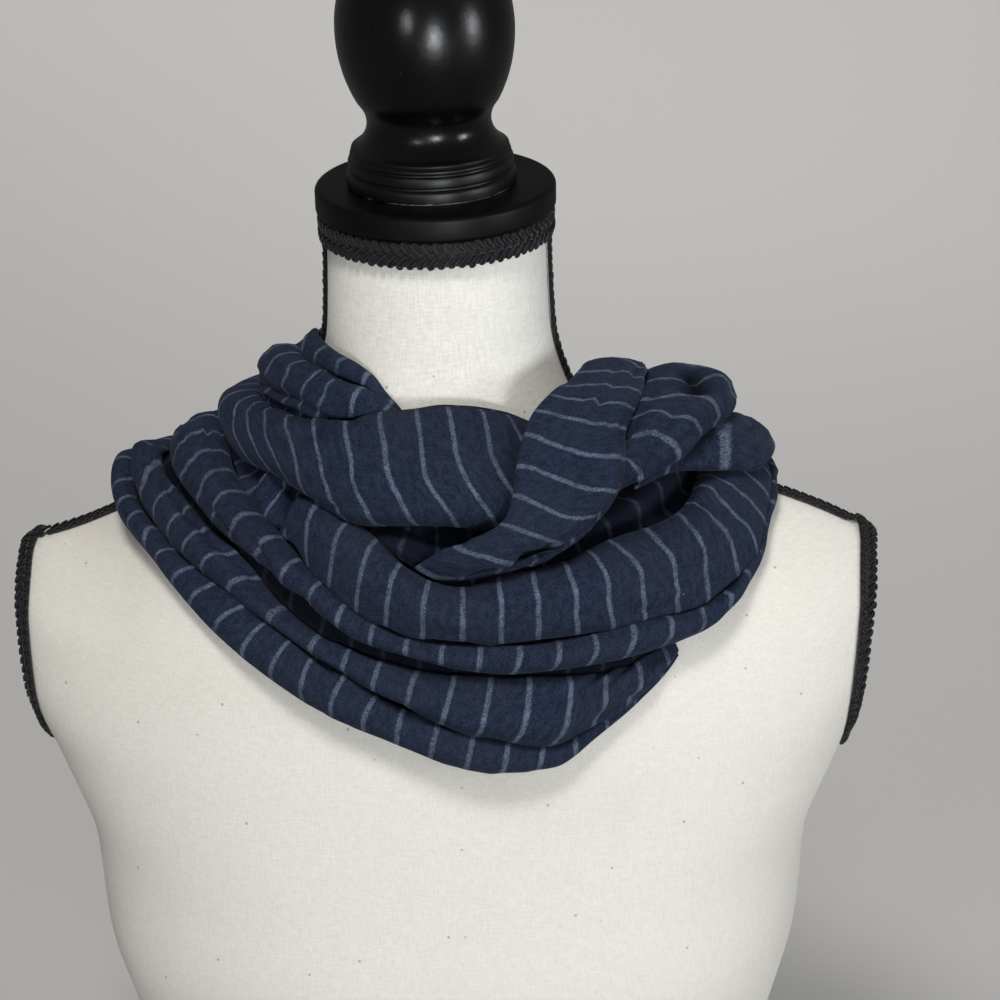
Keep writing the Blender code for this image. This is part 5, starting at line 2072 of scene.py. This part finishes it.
CROSSING_RIGHT_STRIPES = [
    Stripe(646, 402, 710, 402, 670, 397),
    Stripe(634, 418, 697, 426, 658, 411),
    Stripe(628, 444, 679, 453, 655, 429),
]
SHOULDER_STRIPES = [Stripe(713, 424, 724, 462, 725, 436)]
NECK_MARKS = [NECK_LOWER_STRIPES, NECK_MIDDLE_STRIPES, NECK_UPPER_STRIPES]
CROSSING_MARKS = [CROSSING_RIGHT_STRIPES, CROSSING_LEFT_STRIPES]
SHOULDER_MARKS = [SHOULDER_STRIPES]
print("marked on the upper loop:", marked(NECK_MARKS + CROSSING_MARKS + SHOULDER_MARKS), "stripes")

# %% [markdown]
# ## Creases in their places
# These are the creases that the eye finds first. Each lies on one roll.

# %% Placed creases
CHEST_LOWER_CREASES = [
    Crease(228, 470, 300, 560, 3, -1.0, 4.0),
    Crease(286, 592, 344, 624, 1, 1.3, 2.6),
    Crease(344, 618, 462, 655, 2, 1.2, 2.6),
    Crease(560, 662, 640, 640, 1, 0.6, 3.0),
    Crease(200, 430, 215, 480, 2, 0.9, 4.0),
]
CHEST_UPPER_CREASES = [
    Crease(287, 468, 264, 520, 1, -9.0, 2.8),
    Crease(297, 484, 284, 534, 0, 4.0, 2.6),
    Crease(300, 499, 345, 514, 0, -1.6, 3.6),
    Crease(424, 608, 505, 612, 1, 0.9, 3.0),
    Crease(505, 606, 612, 572, 1, -0.9, 4.5),
    Crease(612, 570, 700, 552, 2, -1.8, 4.5),
    Crease(700, 500, 730, 527, 1, 3.2, 3.6),
    Crease(672, 512, 738, 548, 1, -1.8, 4.0),
    Crease(640, 540, 720, 500, 1, 0.9, 5.0),
    Crease(706, 464, 728, 496, 1, 1.2, 3.0),
    Crease(360, 560, 400, 605, 1, 0.7, 3.5),
]
LOWEST_CREASES = [
    Crease(128, 470, 146, 512, 1, 1.6, 2.6),
    Crease(146, 512, 166, 536, 1, 1.3, 2.4),
    Crease(176, 560, 226, 610, 1, 0.9, 3.0),
    Crease(232, 622, 330, 694, 2, 0.8, 3.2),
    Crease(400, 730, 520, 762, 1, -0.6, 4.0),
]
LOWEST_UPPER_CREASES = [
    Crease(160, 470, 178, 520, 2, -1.3, 3.2),
    Crease(178, 520, 226, 572, 2, -1.2, 3.6),
    Crease(196, 540, 240, 590, 1, 1.0, 2.8),
    Crease(320, 655, 400, 690, 1, 0.9, 3.0),
    Crease(440, 700, 590, 705, 2, 0.7, 5.0),
    Crease(560, 745, 612, 715, 1, 1.0, 3.0),
]
NECK_LOWER_CREASES = [
    Crease(316, 478, 400, 487, 1, -2.6, 3.2),
    Crease(400, 487, 516, 464, 1, -3.0, 3.2),
    Crease(330, 500, 400, 508, 1, 1.2, 4.0),
    Crease(255, 430, 285, 470, 2, 0.8, 4.0),
    Crease(420, 430, 520, 425, 1, 0.5, 6.0),
]
NECK_MIDDLE_CREASES = [
    Crease(290, 372, 350, 385, 1, -0.9, 3.0),
    Crease(300, 400, 380, 408, 0, 0.8, 3.0),
]
CROSSING_LEFT_CREASES = [
    Crease(580, 432, 574, 524, 1, 3.8, 5.5),
    Crease(604, 440, 600, 512, 1, -3.0, 5.0),
    Crease(508, 565, 572, 556, 0, 6.0, 5.0),
    Crease(540, 452, 530, 520, 1, 1.4, 4.0),
    Crease(556, 380, 590, 376, 0, 0.9, 3.5),
    Crease(516, 530, 480, 556, 1, 1.1, 3.5),
    Crease(532, 470, 520, 520, 1, -0.8, 5.0),
]
CROSSING_RIGHT_CREASES = [
    Crease(680, 352, 702, 398, 1, 8.5, 5.5),
    Crease(702, 366, 722, 408, 1, -2.4, 4.0),
    Crease(650, 372, 690, 366, 1, -1.5, 4.0),
    Crease(712, 404, 734, 386, 0, 1.8, 2.8),
    Crease(646, 384, 652, 440, 2, -1.6, 4.5),
    Crease(660, 400, 676, 452, 1, 1.4, 4.0),
]
SHOULDER_CREASES = [
    Crease(700, 440, 764, 446, 1, -1.0, 4.0),
    Crease(720, 452, 764, 462, 1, 0.9, 3.0),
]
CHEST_CREASES = [CHEST_LOWER_CREASES, CHEST_UPPER_CREASES]
LOW_CREASES = [LOWEST_CREASES, LOWEST_UPPER_CREASES]
NECK_CREASES = [NECK_LOWER_CREASES, NECK_MIDDLE_CREASES, []]
CROSSING_CREASES = [CROSSING_RIGHT_CREASES, CROSSING_LEFT_CREASES]
placed = CHEST_CREASES + LOW_CREASES + NECK_CREASES + CROSSING_CREASES + [SHOULDER_CREASES]
print("placed creases:", sum(len(roll) for roll in placed))

# %% [markdown]
# ## Making the scarf's pieces
# Each stretch is an open sheet first, with its stripe numbers as a UV map. Stretches that meet
# are merged at their common edge, and a Solidify modifier gives the sheet its thickness, half to
# each side, so the folds keep their sizes.

# %% Sheets of jersey
CLOTH = 1.5
SEAM_TOLERANCE = 0.02
Sheet = namedtuple("Sheet", "grid numbers in_fold")
# FOLD_FADE is how many columns the painted shade at a fold line takes to fade out.
FOLD_FADE = 3


def fold_shade_mask(pressed, rolls):
    """Painted shade from 0 to 1, by how deep in a fold or crease each point lies."""
    mask = pressed.copy()
    for line in range(1, rolls):
        middle = line * ROLL_COLUMNS - (TURN_STEPS + 1) / 2
        gap = np.abs(np.arange(pressed.shape[1]) - middle) - (TURN_STEPS + 1) / 2
        mask = np.maximum(mask, ease(1 - gap / FOLD_FADE)[None, :])
    return mask


def sheet_faces(stations, columns, first):
    faces = []
    for i in range(stations - 1):
        for j in range(columns - 1):
            here = first + i * columns + j
            faces.append((here, here + columns, here + columns + 1, here + 1))
    return faces


def cloth_piece(name, sheets):
    """One piece of cloth from touching sheets, each with its grid, stripe numbers and painted shade.
    """
    points = []
    places = []
    shade_values = []
    faces = []
    for sheet in sheets:
        stations, columns, _ = sheet.grid.shape
        faces += sheet_faces(stations, columns, len(points))
        across = np.linalg.norm(np.diff(sheet.grid, axis=1), axis=2)
        width = np.concatenate([np.zeros((stations, 1)), np.cumsum(across, axis=1)], axis=1)
        points += [tuple(point) for point in sheet.grid.reshape(-1, 3) * MM]
        along = sheet.numbers * STRIPE_PITCH
        places += list(zip(along.ravel(), (width * MM).ravel()))
        shade_values += list(sheet.in_fold.ravel())
    mesh = bpy.data.meshes.new(name)
    mesh.from_pydata(points, [], faces)
    layer = mesh.uv_layers.new(name="cloth")
    for loop in mesh.loops:
        layer.data[loop.index].uv = places[loop.vertex_index]
    # The painted shade goes on each point as an attribute, which darkens the jersey.
    depth = mesh.attributes.new("in_fold", "FLOAT", "POINT")
    depth.data.foreach_set("value", np.array(shade_values, np.float32))
    shell = bmesh.new()
    shell.from_mesh(mesh)
    bmesh.ops.remove_doubles(shell, verts=shell.verts, dist=SEAM_TOLERANCE * MM)
    bmesh.ops.recalc_face_normals(shell, faces=shell.faces)
    shell.to_mesh(mesh)
    shell.free()
    mesh.materials.append(JERSEY)
    made = bpy.data.objects.new(name, mesh)
    bpy.context.scene.collection.objects.link(made)
    wall = made.modifiers.new("wall", "SOLIDIFY")
    wall.thickness = CLOTH * MM
    wall.offset = 0.0
    wall.use_even_offset = False
    baked(made)
    made.data.shade_smooth()
    return made


print("cloth wall:", CLOTH, "mm")

# %% [markdown]
# The chest wrap closes on itself, so its creases and its stripe numbers are faded to meet where
# the two ends join.

# %% The chest wrap
FAINT = 26
creased, pressed = lay_creases(CHEST, CHEST_CREASES, FAINT, seed=11, closed=True)
numbers = stripe_grid(creased, CHEST_MARKS, closed=True)
chest_wrap = cloth_piece("chest_wrap", [Sheet(creased, numbers, fold_shade_mask(pressed, 2))])
hand_over(chest_wrap, "scarf_jersey", "chest_wrap_front", "chest_wrap_back")

# %% [markdown]
# The lowest wrap is open, and its creases die out towards its pointed tip.

# %% The lowest wrap
creased, pressed = lay_creases(LOWEST, LOW_CREASES, FAINT, seed=23)
numbers = stripe_grid(creased, LOWEST_MARKS)
lowest_wrap = cloth_piece("lowest_wrap", [Sheet(creased, numbers, fold_shade_mask(pressed, 3))])
hand_over(lowest_wrap, "scarf_jersey", "lowest_wrap_front", "lowest_wrap_back")

# %% [markdown]
# Three stretches make this piece. They meet behind the right shoulder, so the ends of the
# crossing and the shoulder roll are led to the neck wrap's, and their stripe numbers differ from
# its own by whole ones.

# %% The neck wrap with the crossing and the shoulder roll
neck, neck_deep = lay_creases(NECK, NECK_CREASES, FAINT // 2, seed=37)
cross, cross_deep = lay_creases(CROSS, CROSSING_CREASES, FAINT // 2, seed=41)
turned, turned_deep = lay_creases(ROUND, [SHOULDER_CREASES], FAINT // 3, seed=43)
cross = led_to(cross, neck[0, ROLL_COLUMNS:])
turned = led_to(turned, neck[0, roll_slice(0)], at_end=True)
neck_numbers = stripe_grid(neck, NECK_MARKS)
cross_numbers = stripe_grid(cross, CROSSING_MARKS)
turned_numbers = stripe_grid(turned, SHOULDER_MARKS)
lacking = neck_numbers[0, ROLL_COLUMNS:] - cross_numbers[0]
cross_numbers += whole_step(lacking, len(cross), CROSSING_STRIPE_REACH)
lacking = neck_numbers[0, roll_slice(0)] - turned_numbers[-1]
turned_numbers += whole_step(lacking, len(turned), SHOULDER_STRIPE_REACH, at_end=True)
neck_sheets = [
    Sheet(neck, neck_numbers, fold_shade_mask(neck_deep, 3)),
    Sheet(cross, cross_numbers, fold_shade_mask(cross_deep, 2)),
    Sheet(turned, turned_numbers, fold_shade_mask(turned_deep, 1)),
]
neck_wrap = cloth_piece("neck_wrap", neck_sheets)
hand_over(
    neck_wrap, "scarf_jersey", "neck_wrap_front", "neck_wrap_back", "crossing", "shoulder_roll"
)

# %% [markdown]
# The stretch behind lies in shade, so all of it is painted darker as shade, and it has no placed
# creases. A slow noise lifts it a little, and its stripes are counted along its length.

# %% The stretch behind
BEHIND_UNEVENNESS = 0.5
BEHIND_LUMP = 20.0
BEHIND_STRIPE = 15.5
# Painted shade over the whole stretch behind, from 0 to 1.
BEHIND_SHADE = 0.8
behind_run = Roll(BACKING).run
uneven = BEHIND_UNEVENNESS * slow_noise(BACKING, BEHIND_LUMP)
behind = BACKING + outward_normals(BACKING) * uneven[:, :, None]
behind_shade = np.full(behind_run.shape, BEHIND_SHADE)
behind_sheet = Sheet(behind, behind_run / BEHIND_STRIPE, behind_shade)
stretch_behind = cloth_piece("stretch_behind_cloth", [behind_sheet])
hand_over(stretch_behind, "scarf_jersey", "stretch_behind")

# %% [markdown]
# ## The cloth's area
# The draped area of each piece of cloth is printed: half the surface of its thin wall.

# %% Areas of the cloth
def cloth_area(piece):
    """Half of a thin wall's surface, in square metres."""
    return sum(face.area for face in piece.data.polygons) / 2


for piece in (chest_wrap, lowest_wrap, neck_wrap, stretch_behind):
    print(piece.name, "area", round(cloth_area(piece), 4))
